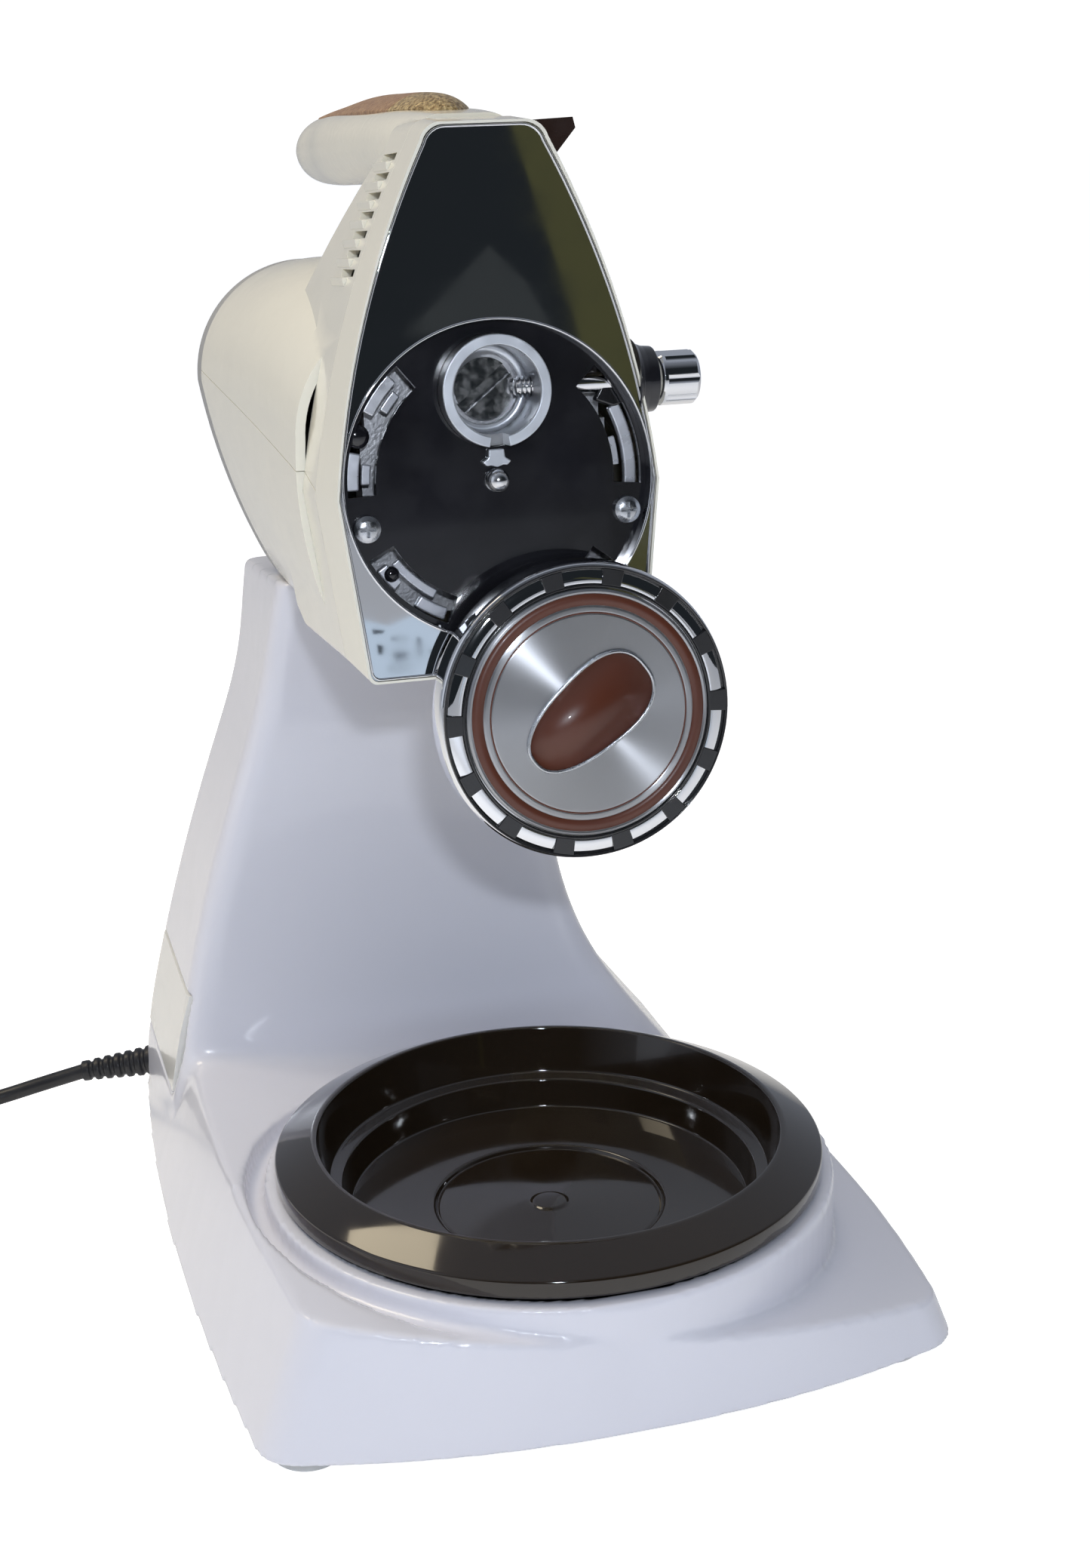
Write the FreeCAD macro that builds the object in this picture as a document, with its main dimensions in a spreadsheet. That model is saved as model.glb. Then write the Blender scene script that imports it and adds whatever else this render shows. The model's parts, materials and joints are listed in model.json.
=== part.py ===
# Household stand mixer with a front accessory drive, its round cover swung aside.
# Millimetres. Origin on the table under the turntable's axis, +Z up, front towards -Y.
# Head parts are drawn in the head's own frame: X across, Y back from the face plate, Z up the
# face plate, origin at the centre of the face plate's round opening. HEAD carries that frame
# to its tilted place on the column.
import FreeCAD, Part
import math
import os
import Sketcher
from FreeCAD import Placement, Rotation, Vector

DIMENSIONS = {
    # stand
    "foot_radius": 10.6, "foot_height": 9.5, "foot_side": 80.0, "foot_inner": 57.0, "foot_front": -52.0,
    "foot_rear": 148.0,
    "rim_level": 8.0, "shell_wall": 3.0, "tray_height": 33.3, "tray_slope": 0.137,
    # turntable and its well
    "table_radius": 76.0, "table_level": 45.3, "table_band": 4.9, "table_lip": 65.6, "table_top": 55.3,
    "table_floor": 31.0, "table_wall": 2.6, "ring_radius": 79.2, "well_radius": 73.5, "ring_top": 44.0,
    "well_floor": 21.0, "pin_radius": 4.0, "running_gap": 0.06,
    # head
    "head_across": -13.6, "head_front": -18.0, "head_level": 240.0, "head_tilt": 5.0,
    "hinge_back": 128.0, "hinge_up": -24.0, "hinge_pin_radius": 4.0,
    "frame_depth": 14.0, "cap_back": 130.0, "cap_depth": 18.0, "head_wall": 2.5,
    # front drive
    "opening_radius": 38.6, "plate_thick": 1.2, "disc_back": 3.5, "disc_thick": 1.7, "disc_radius": 39.8,
    "disc_room": 40.1,
    "socket_up": 21.8, "socket_radius": 13.6, "socket_bore": 10.9, "socket_front": -1.6,
    "socket_depth": 12.6, "socket_step": 8.8, "screw_across": 33.1, "screw_up": -9.6,
    "knob_radius": 6.75, "knob_length": 11.0, "knob_start": 42.4, "knob_back": 8.0, "shank_radius": 2.5,
    "ball_radius": 2.8,
    # swing-away cover
    "cover_radius": 37.4, "cover_across": 16.6, "cover_up": -57.3, "cover_pin_across": -1.6,
    "cover_pin_up": -31.5, "cover_pin_radius": 2.5, "cover_depth": 8.5, "cover_back": -2.0,
    "badge_radius": 31.0,
    # motor and gears
    "motor_up": 2.0, "shaft_radius": 3.0, "core_radius": 17.0, "bearing_radius": 8.0,
    "spindle_across": 20.5, "spindle_back": 38.0, "spindle_radius": 6.0, "beater_bore": 3.2,
    "wheel_tip": 14.4, "wheel_root": 12.6, "wheel_thick": 8.0,
    "gear_module": 1.1,
    # cord
    "cord_radius": 2.5, "coil_inner": 20.5, "coil_outer": 35.5, "coil_height": 15.2,
}
WHEEL_TEETH = 30
PINION_TEETH = 8
HUB_TEETH = 28

doc = FreeCAD.newDocument("StandMixer")
sheet = doc.addObject("Spreadsheet::Sheet", "Sizes")
NODES = []


def fill_sheet():
    for row, (alias, value) in enumerate(DIMENSIONS.items(), start=1):
        sheet.set(f"A{row}", alias)
        sheet.set(f"B{row}", str(value))
        sheet.setAlias(f"B{row}", alias)
    doc.recompute()


def size(alias):
    return float(getattr(sheet, alias))


def bound(formula):
    """A formula in sheet names, such as "=table_radius - 2", as an expression on the sheet."""
    words = []
    for word in formula.replace("(", " ( ").replace(")", " ) ").split():
        words.append(f"Sizes.{word}" if word in DIMENSIONS else word)
    return " ".join(words)


def worth(formula):
    """The number that a formula in sheet names has now."""
    return float(sheet.evalExpression(bound(str(formula))))


# ---------------------------------------------------------------- building blocks
def node(obj, label, place=None):
    """Name a finished sub-part, place it and list it for writing."""
    obj.Label = label
    if place is not None:
        obj.Placement = place
    NODES.append(obj)
    return obj


def primitive(kind, label, place, **formulas):
    obj = doc.addObject("Part::" + kind, label)
    for name, formula in formulas.items():
        obj.setExpression(name, bound(str(formula)))
    obj.Placement = place
    return obj


def rod(label, place, radius, length):
    return primitive("Cylinder", label, place, Radius=radius, Height=length)


def block(label, low, high):
    """A box between two corners, each given as three formulas."""
    place = Placement(Vector(*[worth(value) for value in low]), Rotation())
    spans = [f"({b}) - ({a})" for a, b in zip(low, high)]
    return primitive("Box", label, place, Length=spans[0], Width=spans[1], Height=spans[2])


def joined(label, parts):
    obj = doc.addObject("Part::MultiFuse", label)
    obj.Shapes = parts
    return obj


def less(label, base, tools):
    obj = doc.addObject("Part::Cut", label)
    obj.Base = base
    obj.Tool = tools[0] if len(tools) == 1 else joined(label + "_tools", tools)
    return obj


def group(label, parts):
    obj = doc.addObject("Part::Compound", label)
    obj.Links = parts
    return obj


def free_shape(label, shape, place=None):
    """A sub-part whose shape comes from lofts and other surfaces."""
    obj = doc.addObject("Part::Feature", label)
    obj.Shape = shape
    return node(obj, label, place)


def profile(body, label, role, corners):
    """A closed sketch of straight lines, each corner held by two formulas from the origin."""
    plane = next(item for item in body.Origin.OriginFeatures if item.Role == role)
    sketch = body.newObject("Sketcher::SketchObject", label + "_sketch")
    sketch.AttachmentSupport = [(plane, "")]
    sketch.MapMode = "FlatFace"
    points = [Vector(worth(across), worth(up), 0) for across, up in corners]
    count = len(points)
    for index in range(count):
        sketch.addGeometry(Part.LineSegment(points[index], points[(index + 1) % count]), False)
    for index in range(count):
        sketch.addConstraint(Sketcher.Constraint("Coincident", index, 2, (index + 1) % count, 1))
    for index, corner in enumerate(corners):
        for kind, axis, formula, value in (
            ("DistanceX", -2, corner[0], points[index].x),
            ("DistanceY", -1, corner[1], points[index].y),
        ):
            if abs(value) < 1e-9:
                sketch.addConstraint(Sketcher.Constraint("PointOnObject", index, 1, axis))
            else:
                number = sketch.addConstraint(Sketcher.Constraint(kind, -1, 1, index, 1, value))
                sketch.setExpression(f"Constraints[{number}]", bound(str(formula)))
    return sketch


def turned(label, place, corners):
    """A body of revolution about its own Z: corners are (radius, height) formulas."""
    body = doc.addObject("PartDesign::Body", label)
    sketch = profile(body, label, "XZ_Plane", corners)
    feature = body.newObject("PartDesign::Revolution", label + "_turn")
    feature.Profile = sketch
    feature.ReferenceAxis = (sketch, ["V_Axis"])
    feature.Angle = 360.0
    body.Placement = place
    return body


def padded(label, place, corners, thickness):
    """A plate: its outline's corners in its own XY plane, and a thickness along its Z."""
    body = doc.addObject("PartDesign::Body", label)
    sketch = profile(body, label, "XY_Plane", corners)
    feature = body.newObject("PartDesign::Pad", label + "_pad")
    feature.Profile = sketch
    feature.setExpression("Length", bound(str(thickness)))
    body.Placement = place
    return body


def ring_corners(inner, outer, low, high):
    return [(inner, low), (outer, low), (outer, high), (inner, high)]


def toothed(label, place, root, tip, teeth, thickness, bore):
    """A gear about its own Z: a turned hub, one padded tooth and a polar pattern of it."""
    body = turned(label, place, ring_corners(bore, root, "0", thickness))
    doc.recompute()
    half_root = math.pi * worth(root) / teeth * 0.48
    half_tip = half_root * 0.42
    inside = worth(root) - 0.4
    corners = [
        (str(inside), str(-half_root)), (str(worth(tip)), str(-half_tip)),
        (str(worth(tip)), str(half_tip)), (str(inside), str(half_root)),
    ]
    sketch = profile(body, label + "_tooth", "XY_Plane", corners)
    tooth = body.newObject("PartDesign::Pad", label + "_tooth_pad")
    tooth.Profile = sketch
    tooth.setExpression("Length", bound(str(thickness)))
    pattern = body.newObject("PartDesign::PolarPattern", label + "_teeth")
    pattern.Originals = [tooth]
    pattern.Axis = (sketch, ["N_Axis"])
    pattern.Angle = 360.0
    pattern.Occurrences = teeth
    body.Tip = pattern
    return body


# ---------------------------------------------------------------- frames of reference
UPRIGHT = Rotation()
FACING = Rotation(Vector(1, 0, 0), 90)      # a body's Z points out of the face plate
BACKWARD = Rotation(Vector(1, 0, 0), -90)   # a body's Z points back into the head
RIGHTWARD = Rotation(Vector(0, 1, 0), 90)   # a body's Z points to +X


def head_frame():
    corner = Vector(size("head_across"), size("head_front"), size("head_level"))
    return Placement(corner, Rotation(Vector(1, 0, 0), -size("head_tilt")))


def local(across, back, up, rotation=UPRIGHT):
    return Placement(Vector(worth(across), worth(back), worth(up)), rotation)


def in_head(across, back, up, rotation=UPRIGHT):
    return HEAD.multiply(local(across, back, up, rotation))


def on_stand(x, y, z, rotation=UPRIGHT):
    return local(x, y, z, rotation)


# ---------------------------------------------------------------- wires and lofts
def arc(start, middle, end):
    return Part.Arc(start, middle, end).toShape()


def line(start, end):
    return Part.LineSegment(start, end).toShape()


def mirrored_wire(right_side, place):
    """A closed wire from its right half: a list of pieces, each 2 points (a line) or 3 (an arc)."""
    left_side = []
    for piece in reversed(right_side):
        left_side.append([(-across, along) for across, along in reversed(piece)])
    pieces = list(right_side)
    pieces.append([right_side[-1][-1], left_side[0][0]])
    pieces += left_side
    pieces.append([left_side[-1][-1], right_side[0][0]])
    edges = []
    for piece in pieces:
        points = [place(across, along) for across, along in piece]
        edges.append(line(*points) if len(points) == 2 else arc(*points))
    return Part.Wire(edges)


def spade_wire(grow, back, crown=None, rise=None, lift=0.0):
    """The face plate's outline, grown outward, at a depth in the head's frame.

    The corners at its top can grow by another amount, crown, and the top itself by rise; lift
    raises the foot.
    """
    crown = grow if crown is None else crown
    rise = grow if rise is None else rise
    shoulder, top, foot = 40.0 + grow, 84.0 + rise, -46.6 - grow + lift
    right_side = [
        [(9.5 + crown, top), (13.0 + crown, top - 1.1), (15.0 + crown, top - 4.0)],
        [(15.0 + crown, top - 4.0), (29.2 + (grow + crown) / 2, 47.0), (shoulder, -2.0)],
        [(shoulder, -2.0), (35.0 + grow, foot + 2.1)],
        [(35.0 + grow, foot + 2.1), (34.3 + grow, foot + 0.6), (32.8 + grow, foot)],
    ]
    return mirrored_wire(right_side, lambda across, up: Vector(across, back, up))


def spade_prism(grow, near, far):
    return Part.makeLoft([spade_wire(grow, near), spade_wire(grow, far)], True, True)


def motor_wire(back, flat, top, side, waist, foot, floor, inset):
    """One cross-section of the motor housing: rounded shoulders, sides drawn in to the foot."""
    top, side, foot, floor = top - inset, side - inset, foot - inset, floor + inset
    shoulder = (flat + (side - flat) * 0.71, waist + (top - waist) * 0.71)
    middle = ((side + foot) / 2 + 2.6, (waist + floor) / 2)
    right_side = [
        [(flat, top), shoulder, (side, waist)],
        [(side, waist), middle, (foot, floor)],
    ]
    return mirrored_wire(right_side, lambda across, up: Vector(across, back, up))


MOTOR_SECTIONS = (
    # back, flat, top, side, waist, foot, floor
    (30.0, 13.0, 41.0, 44.6, 10.0, 38.5, -35.6),
    (80.0, 17.0, 52.5, 49.0, 16.0, 38.0, -35.6),
    (130.0, 21.0, 54.0, 54.0, 21.0, 36.0, -35.6),
)


def motor_loft(inset):
    wires = [motor_wire(*section, inset) for section in MOTOR_SECTIONS]
    return Part.makeLoft(wires, True, False)


def wedge(corners, half_width):
    """A prism across the head, from (back, up) corners."""
    points = [Vector(-half_width, back, up) for back, up in corners]
    face = Part.Face(Part.makePolygon(points + points[:1]))
    return face.extrude(Vector(2 * half_width, 0, 0))


# ---------------------------------------------------------------- stand
def base_wire(level, inset):
    """The base's plan outline, drafted inward above the rim; behind, its right side draws in."""
    rise = (level - size("rim_level")) / 41.0
    side_draft = 15.0 * rise + inset
    end_draft = 5.0 * rise + inset
    front, back = -82.0 + end_draft, 168.0 - end_draft
    front_half = [
        [(0, front), (46.0, front + 3.0), (85.0 - side_draft, front + 11.5)],
        [(85.0 - side_draft, front + 11.5), (91.5 - side_draft, front + 15.0),
         (95.0 - side_draft, front + 23.0)],
    ]
    straight_side = front_half + [
        [(95.0 - side_draft, front + 23.0), (101.5 - side_draft, 45.0), (96.0 - side_draft, back - 8.0)],
        [(96.0 - side_draft, back - 8.0), (93.6 - side_draft, back - 2.4), (88.0 - side_draft, back)],
        [(88.0 - side_draft, back), (0, back)],
    ]
    right_side = front_half + [
        [(95.0 - side_draft, front + 23.0), (99.4 - side_draft, 0.0), (97.0 - side_draft, 58.0)],
        [(97.0 - side_draft, 58.0), (92.0 - side_draft, 80.0), (78.0 - side_draft, 97.0)],
        [(78.0 - side_draft, 97.0), (75.6 - side_draft, 103.0), (74.6 - side_draft, 112.0)],
        [(74.6 - side_draft, 112.0), (74.6 - side_draft, back - 8.0)],
        [(74.6 - side_draft, back - 8.0), (72.2 - side_draft, back - 2.4), (66.6 - side_draft, back)],
        [(66.6 - side_draft, back), (0, back)],
    ]
    left_side = [[(-x, y) for x, y in reversed(piece)] for piece in reversed(straight_side)]
    edges = []
    for piece in right_side + left_side:
        points = [Vector(x, y, level) for x, y in piece]
        edges.append(line(*points) if len(points) == 2 else arc(*points))
    return Part.Wire(edges)


def above_slope(drop):
    """Everything above the tray's sloping top, lowered by drop."""
    level, slope = size("tray_height") - drop, size("tray_slope")
    reach = 130.0
    corners = [(-reach, level + reach * slope), (reach, level - reach * slope), (reach, 90), (-reach, 90)]
    points = [Vector(x, -reach, z) for x, z in corners]
    face = Part.Face(Part.makePolygon(points + points[:1]))
    return face.extrude(Vector(0, 3 * reach, 0))


def base_solid(inset):
    low = size("rim_level") - (5.0 if inset else 0.0)
    tray = Part.makeLoft([base_wire(low, inset), base_wire(50.0, inset)], True, True)
    return tray.cut(above_slope(inset))


COLUMN_SECTIONS = (
    # level, left, right, front, back
    (14.0, -95.5, 80.0, 88.0, 165.5),
    (28.0, -94.0, 69.0, 89.5, 165.0),
    (45.0, -91.0, 56.0, 92.5, 164.0),
    (62.0, -87.0, 45.0, 96.0, 162.5),
    (90.0, -79.5, 35.0, 99.0, 160.0),
    (130.0, -66.8, 28.6, 99.0, 156.0),
    (165.0, -57.0, 25.5, 94.5, 152.0),
    (202.0, -49.5, 22.0, 86.0, 149.0),
)


def column_wire(section, inset):
    level, left, right, front, back = section
    left, right, front, back = left + inset, right - inset, front + inset, back - inset
    soft = 7.0
    edges = []
    corners = [(left, front), (right, front), (right, back), (left, back)]
    turns = ((1, 0), (0, 1), (-1, 0), (0, -1))
    for index, (x, y) in enumerate(corners):
        ahead, behind = turns[index], turns[index - 1]
        start = Vector(x - behind[0] * soft, y - behind[1] * soft, level)
        end = Vector(x + ahead[0] * soft, y + ahead[1] * soft, level)
        cut_in = 0.29 * soft
        middle = Vector(x + (ahead[0] - behind[0]) * cut_in, y + (ahead[1] - behind[1]) * cut_in, level)
        after = corners[(index + 1) % 4]
        stop = Vector(after[0] - ahead[0] * soft, after[1] - ahead[1] * soft, level)
        edges.append(arc(start, middle, end))
        edges.append(line(end, stop))
    return Part.Wire(edges)


def column_solid(inset):
    wires = [column_wire(section, inset) for section in COLUMN_SECTIONS]
    column = Part.makeLoft(wires, True, False)
    seat = HEAD_SEAT - inset
    top = Part.makeBox(200, 260, 80, Vector(-100, -40, seat))
    top.Placement = HEAD
    return column.cut(top)


def cylinder(radius, low, high, x=0.0, y=0.0):
    return Part.makeCylinder(radius, high - low, Vector(x, y, low))


SCREW_PLACES = ((-60.0, -38.0), (60.0, -38.0), (-62.0, 108.0), (40.0, 140.0))
COVER_BOX = ((-130.0, 100.0, 33.0), (38.0, 210.0, 64.0))


def stand_shapes():
    """The stand's moulding, and the piece of its lower back wall that is a cover of its own."""
    ring, well, floor = size("ring_radius"), size("well_radius"), size("well_floor")
    outer = base_solid(0.0).fuse(column_solid(0.0))
    trough = cylinder(84.5, 38.5, 60.0).cut(cylinder(ring, 30.0, 60.0))
    front_half = Part.makeBox(200, 170, 60, Vector(-100, -100, 20))
    outer = outer.cut(trough.common(front_half))
    wall = size("shell_wall")
    inner = base_solid(wall).fuse(column_solid(wall))
    inner = inner.cut(cylinder(84.5 + wall, 38.5 - wall, 60.0).common(front_half))
    shell = outer.cut(inner)
    tube = cylinder(ring, floor - 3.0, size("ring_top"))
    shell = shell.fuse(tube)
    for x, y in SCREW_PLACES:
        top = size("tray_height") - size("tray_slope") * x - 1.0
        shell = shell.fuse(cylinder(5.0, 11.7, min(top, 38.0), x, y))
        shell = shell.cut(cylinder(1.8, 8.0, 18.5, x, y))
    shell = shell.cut(cylinder(well, floor, 80.0)).cut(cylinder(size("pin_radius"), 0.0, 60.0))
    low, high = COVER_BOX
    spans = [b - a for a, b in zip(low, high)]
    rear = shell.common(Part.makeBox(*spans, Vector(*low)))
    grown = [span + 0.6 for span in spans]
    shell = shell.cut(Part.makeBox(*grown, Vector(*[value - 0.3 for value in low])))
    solids = sorted(shell.Solids, key=lambda solid: solid.Volume)
    rears = sorted(rear.Solids, key=lambda solid: solid.Volume)
    return solids[-1].removeSplitter(), rears[-1]


def make_stand():
    shell, rear = stand_shapes()
    free_shape("stand_shell", shell)
    free_shape("rear_cover", rear)
    outline = base_wire(size("foot_height"), size("shell_wall") + 0.8)
    plate = Part.Face(outline).extrude(Vector(0, 0, 2.0))
    for x, y in SCREW_PLACES:
        plate = plate.cut(cylinder(1.9, 0.0, 20.0, x, y))
    free_shape("base_plate", plate)
    feet = []
    foot_places = (("-foot_side", "foot_front"), ("foot_side", "foot_front"),
                   ("-foot_side", "foot_rear"), ("foot_inner", "foot_rear"))
    for across, back in foot_places:
        foot = primitive("Cone", f"foot_{len(feet)}", on_stand(across, back, 0),
                         Radius1="foot_radius - 1.2", Radius2="foot_radius", Height="foot_height")
        feet.append(foot)
    node(group("feet", feet), "feet")
    screws = []
    for number, (x, y) in enumerate(SCREW_PLACES):
        head = rod(f"base_screw_head_{number}", on_stand(x, y, "foot_height - 1.9"), "3.6", "1.9")
        shank = rod(f"base_screw_shank_{number}", on_stand(x, y, "foot_height"), "1.78", "9")
        screws.append(joined(f"base_screw_{number}", [head, shank]))
    node(group("base_plate_screws", screws), "base_plate_screws")


def make_turntable():
    wall = "table_wall"
    corners = [
        ("0", "table_floor"), ("32.6", "table_floor"), ("33.4", "table_floor + 0.9"),
        ("56", "table_floor + 1.6"), ("57.6", "table_floor + 10"), ("61.4", "table_floor + 10.8"),
        ("table_lip - 1.3", "table_top"), ("table_lip", "table_top"),
        ("table_radius", "table_level + table_band"), ("table_radius", "table_level"),
        ("table_radius - 2.4", "table_level"), ("table_radius - 2.4", "table_level + table_band - 1.9"),
        ("table_lip + 1.4", "table_top - 4"), ("table_lip - 1.2", "table_floor + 8.2"),
        ("60.2", "table_floor + 7.6"), ("58.6", f"table_floor - {wall}"), ("8", f"table_floor - {wall}"),
        ("8", "well_floor + 1.3"), ("pin_radius + running_gap", "well_floor + 1.3"),
        ("pin_radius + running_gap", "table_floor - 1.6"), ("0", "table_floor - 1.6"),
    ]
    node(turned("turntable", UP, corners), "turntable")
    pin = [("0", "well_floor - 5"), ("pin_radius", "well_floor - 5"), ("pin_radius", "table_floor - 2.8"),
           ("pin_radius - 0.8", "table_floor - 2"), ("0", "table_floor - 2")]
    node(turned("turntable_pin", UP, pin), "turntable_pin")
    washer = ring_corners("pin_radius + 0.2", "8.5", "well_floor", "well_floor + 1.2")
    node(turned("turntable_washer", UP, washer), "turntable_washer")


def make_hinge():
    """Two ears on the column's top, and the pin that the head tilts on."""
    ears = []
    for side in (-1, 1):
        low = min(side * 16.0, side * 21.0)
        stem = block(f"hinge_stem_{side + 1}", (low, "hinge_back - 7", HEAD_SEAT),
                     (low + 5, "hinge_back + 7", "hinge_up"))
        eye = rod(f"hinge_eye_{side + 1}", local(low, "hinge_back", "hinge_up", RIGHTWARD), "8", "5")
        ears += [stem, eye]
    foot = block("hinge_foot", (-21, "hinge_back - 7", HEAD_SEAT), (21, "hinge_back + 7", HEAD_SEAT + 2.6))
    hole = rod("hinge_hole", local(-30, "hinge_back", "hinge_up", RIGHTWARD), "hinge_pin_radius", "60")
    node(less("hinge_bracket", joined("hinge_ears", ears + [foot]), [hole]), "hinge_bracket", HEAD)
    pin = [("0", "0"), ("6", "0"), ("6", "1.5"), ("hinge_pin_radius", "1.5"), ("hinge_pin_radius", "45.4"),
           ("0", "45.4")]
    node(turned("hinge_pin", in_head(-22.6, "hinge_back", "hinge_up", RIGHTWARD), pin), "hinge_pin")


# ---------------------------------------------------------------- head housings
HEAD_SEAT = -36.4
SEAM_BACK, SEAM_UP, SEAM_SLOPE = 40.0, 5.0, 0.213


def blade_outer(inset):
    front = spade_wire(3.4 - inset, size("frame_depth"), 0.3 - inset, 2.2 - inset, 6.0)
    rear = spade_wire(4.4 - inset, 74.0, 1.2 - inset, 3.4 - inset, 8.0)
    body = Part.makeLoft([front, rear], True, True)
    near, far = 33.0 - inset, 80.0 - inset
    lean = wedge([(near, 81.0), (far, 39.5), (120, 39.5), (120, 120), (near, 120)], 90)
    return body.cut(lean)


def head_solid(inset):
    seat = HEAD_SEAT + 0.8 + inset
    body = blade_outer(inset).fuse(motor_loft(inset))
    floor = -43.3 + inset
    step = wedge([(64.0, -70), (64.0, floor), (77.0, seat), (170, seat), (170, -70)], 90)
    return body.cut(step).cut(heel_wedge(129.5 - 1.42 * inset, seat - 3.0))


def heel_wedge(back, up):
    """The space that the head's heel leaves free behind the hinge, from its foremost point."""
    return wedge([(back, up), (back + 58.0, up + 58.0), (200, up + 58.0), (200, up)], 90)


HANDLE_SECTIONS = (
    # back, half width, bottom, top
    (18.0, 13.0, 72.0, 87.4),
    (41.0, 15.4, 72.4, 89.6),
    (80.0, 17.2, 74.0, 92.0),
    (125.0, 18.0, 74.0, 93.9),
    (148.0, 18.0, 75.0, 93.8),
    (160.0, 16.2, 76.6, 91.8),
    (167.5, 9.5, 79.6, 88.4),
)
PAD_SECTIONS = (
    # back, half width, side edge, crown
    (33.5, 2.6, 89.1, 90.0),
    (37.0, 5.0, 89.4, 91.8),
    (42.0, 7.2, 89.9, 93.2),
    (50.0, 9.4, 90.3, 94.3),
    (62.0, 11.6, 91.0, 95.2),
    (80.0, 12.8, 91.8, 96.1),
    (100.0, 13.0, 92.4, 97.0),
    (130.0, 12.8, 93.4, 96.6),
    (146.0, 11.8, 93.5, 95.3),
    (150.0, 10.0, 93.3, 94.2),
)
PAD_SPLIT = 56.0
INSERT_LOW, BUTTON_LOW, BUTTON_SEAT = 88.4, 87.0, 84.9


def handle_wire(section):
    back, half, low, high = section
    middle = (low + high) / 2
    right_side = [
        [(half * 0.5, high), (half * 0.87, high - (high - middle) * 0.3), (half, middle)],
        [(half, middle), (half * 0.84, low + (middle - low) * 0.32), (half * 0.5, low)],
    ]
    return mirrored_wire(right_side, lambda across, up: Vector(across, back, up))


def handle_solid():
    return Part.makeLoft([handle_wire(section) for section in HANDLE_SECTIONS], True, False)


def pad_solid(low, grow=0.0, proud=0.0):
    """The handle's crowned pad, flat underneath at low; its seat is the same shape, grown and proud."""
    wires = []
    for back, half, edge, crown in PAD_SECTIONS:
        half, edge, crown = half + grow, edge + proud, crown + proud
        right, left = Vector(half, back, edge), Vector(-half, back, edge)
        foot_right, foot_left = Vector(half, back, low), Vector(-half, back, low)
        over = Part.Arc(right, Vector(0, back, crown), left).toShape()
        wires.append(Part.Wire([line(foot_left, foot_right), line(foot_right, right), over,
                                line(left, foot_left)]))
    return Part.makeLoft(wires, True, False)


def slab(near, far):
    """All of the head between two distances back from the face plate."""
    return Part.makeBox(200, far - near, 240, Vector(-100, near, -100))


def louvre_slots():
    slots = []
    for number in range(7):
        up = 50.0 + 4.5 * number
        slots.append(Part.makeBox(120, 14.0, 1.7, Vector(-60, 17.0, up)))
    return Part.makeCompound(slots)


def make_housings():
    """Two ivory shells: the upper one has the carrying handle, the lower one the beater holes."""
    shell = head_solid(0.0).cut(head_solid(size("head_wall")))
    wall_front = wedge([(0, -90), (0, 120), (size("frame_depth"), 120), (size("frame_depth"), -90)], 90)
    shell = shell.cut(wall_front)
    handle = handle_solid()
    insert_seat = pad_solid(INSERT_LOW, 0.15, 6.0).common(slab(PAD_SPLIT, 170.0))
    button_seat = pad_solid(BUTTON_SEAT, 0.3, 6.0).common(slab(0.0, PAD_SPLIT + 0.1))
    cavity = head_solid(size("head_wall"))
    shell = shell.fuse(handle.cut(cavity).cut(wall_front))
    shell = shell.cut(insert_seat).cut(button_seat)
    shell = shell.cut(louvre_slots())
    lever_slot = Part.makeBox(44, 8.0, 14.6, Vector(0.0, size("frame_depth"), 71.0))
    hinge_slot = Part.makeBox(46, 42, 34, Vector(-23, 117, -50))
    knob_room = Part.makeCylinder(7.5, 30, Vector(30, size("knob_back"), size("socket_up")), Vector(1, 0, 0))
    shell = shell.cut(lever_slot).cut(hinge_slot).cut(knob_room)
    for side in (-1, 1):
        across = side * size("spindle_across")
        shell = shell.cut(Part.makeCylinder(9.0, 30, Vector(across, size("spindle_back"), -60)))

    def seam(drop):
        near, far = -10.0, 200.0
        heights = [SEAM_UP + SEAM_SLOPE * (back - SEAM_BACK) - drop for back in (near, far)]
        return wedge([(near, heights[0]), (far, heights[1]), (far, 200), (near, 200)], 90)

    upper = shell.common(seam(-0.1))
    lower = shell.cut(seam(0.1))
    upper_solids = sorted(upper.Solids, key=lambda solid: solid.Volume)
    lower_solids = sorted(lower.Solids, key=lambda solid: solid.Volume)
    free_shape("head_housing_upper", upper_solids[-1], HEAD)
    free_shape("head_housing_lower", lower_solids[-1], HEAD)


def make_front_frame():
    depth = size("frame_depth") - 0.2
    face, across = Vector(0, 1, 0), Vector(1, 0, 0)
    outer = Part.makeLoft([spade_wire(0.7, -0.6), spade_wire(3.4, depth, 0.3, 2.2, 6.0)], True, True)
    outer = outer.cut(spade_prism(0.1, -2.0, size("plate_thick") + 0.2))
    inner_wires = [spade_wire(-2.2, 0.0), spade_wire(-0.2, 15.0, -2.6, -0.4, 4.6)]
    outer = outer.cut(Part.makeLoft(inner_wires, True, True))
    disc_room = Part.makeCylinder(size("disc_room"), 30, Vector(0, size("plate_thick") + 0.2, 0), face)
    frame = outer.cut(disc_room)
    boss = Part.makeCylinder(7.3, 4.4, Vector(37.6, size("knob_back"), size("socket_up")), across)
    frame = frame.fuse(boss.cut(Part.makeCylinder(size("disc_room"), 30, Vector(0, 0, 0), face)))
    hole = Part.makeCylinder(3.2, 60, Vector(0, size("knob_back"), size("socket_up")), across)
    frame = frame.cut(hole)
    solids = sorted(frame.Solids, key=lambda solid: solid.Volume)
    free_shape("front_frame", solids[-1], HEAD)


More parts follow.
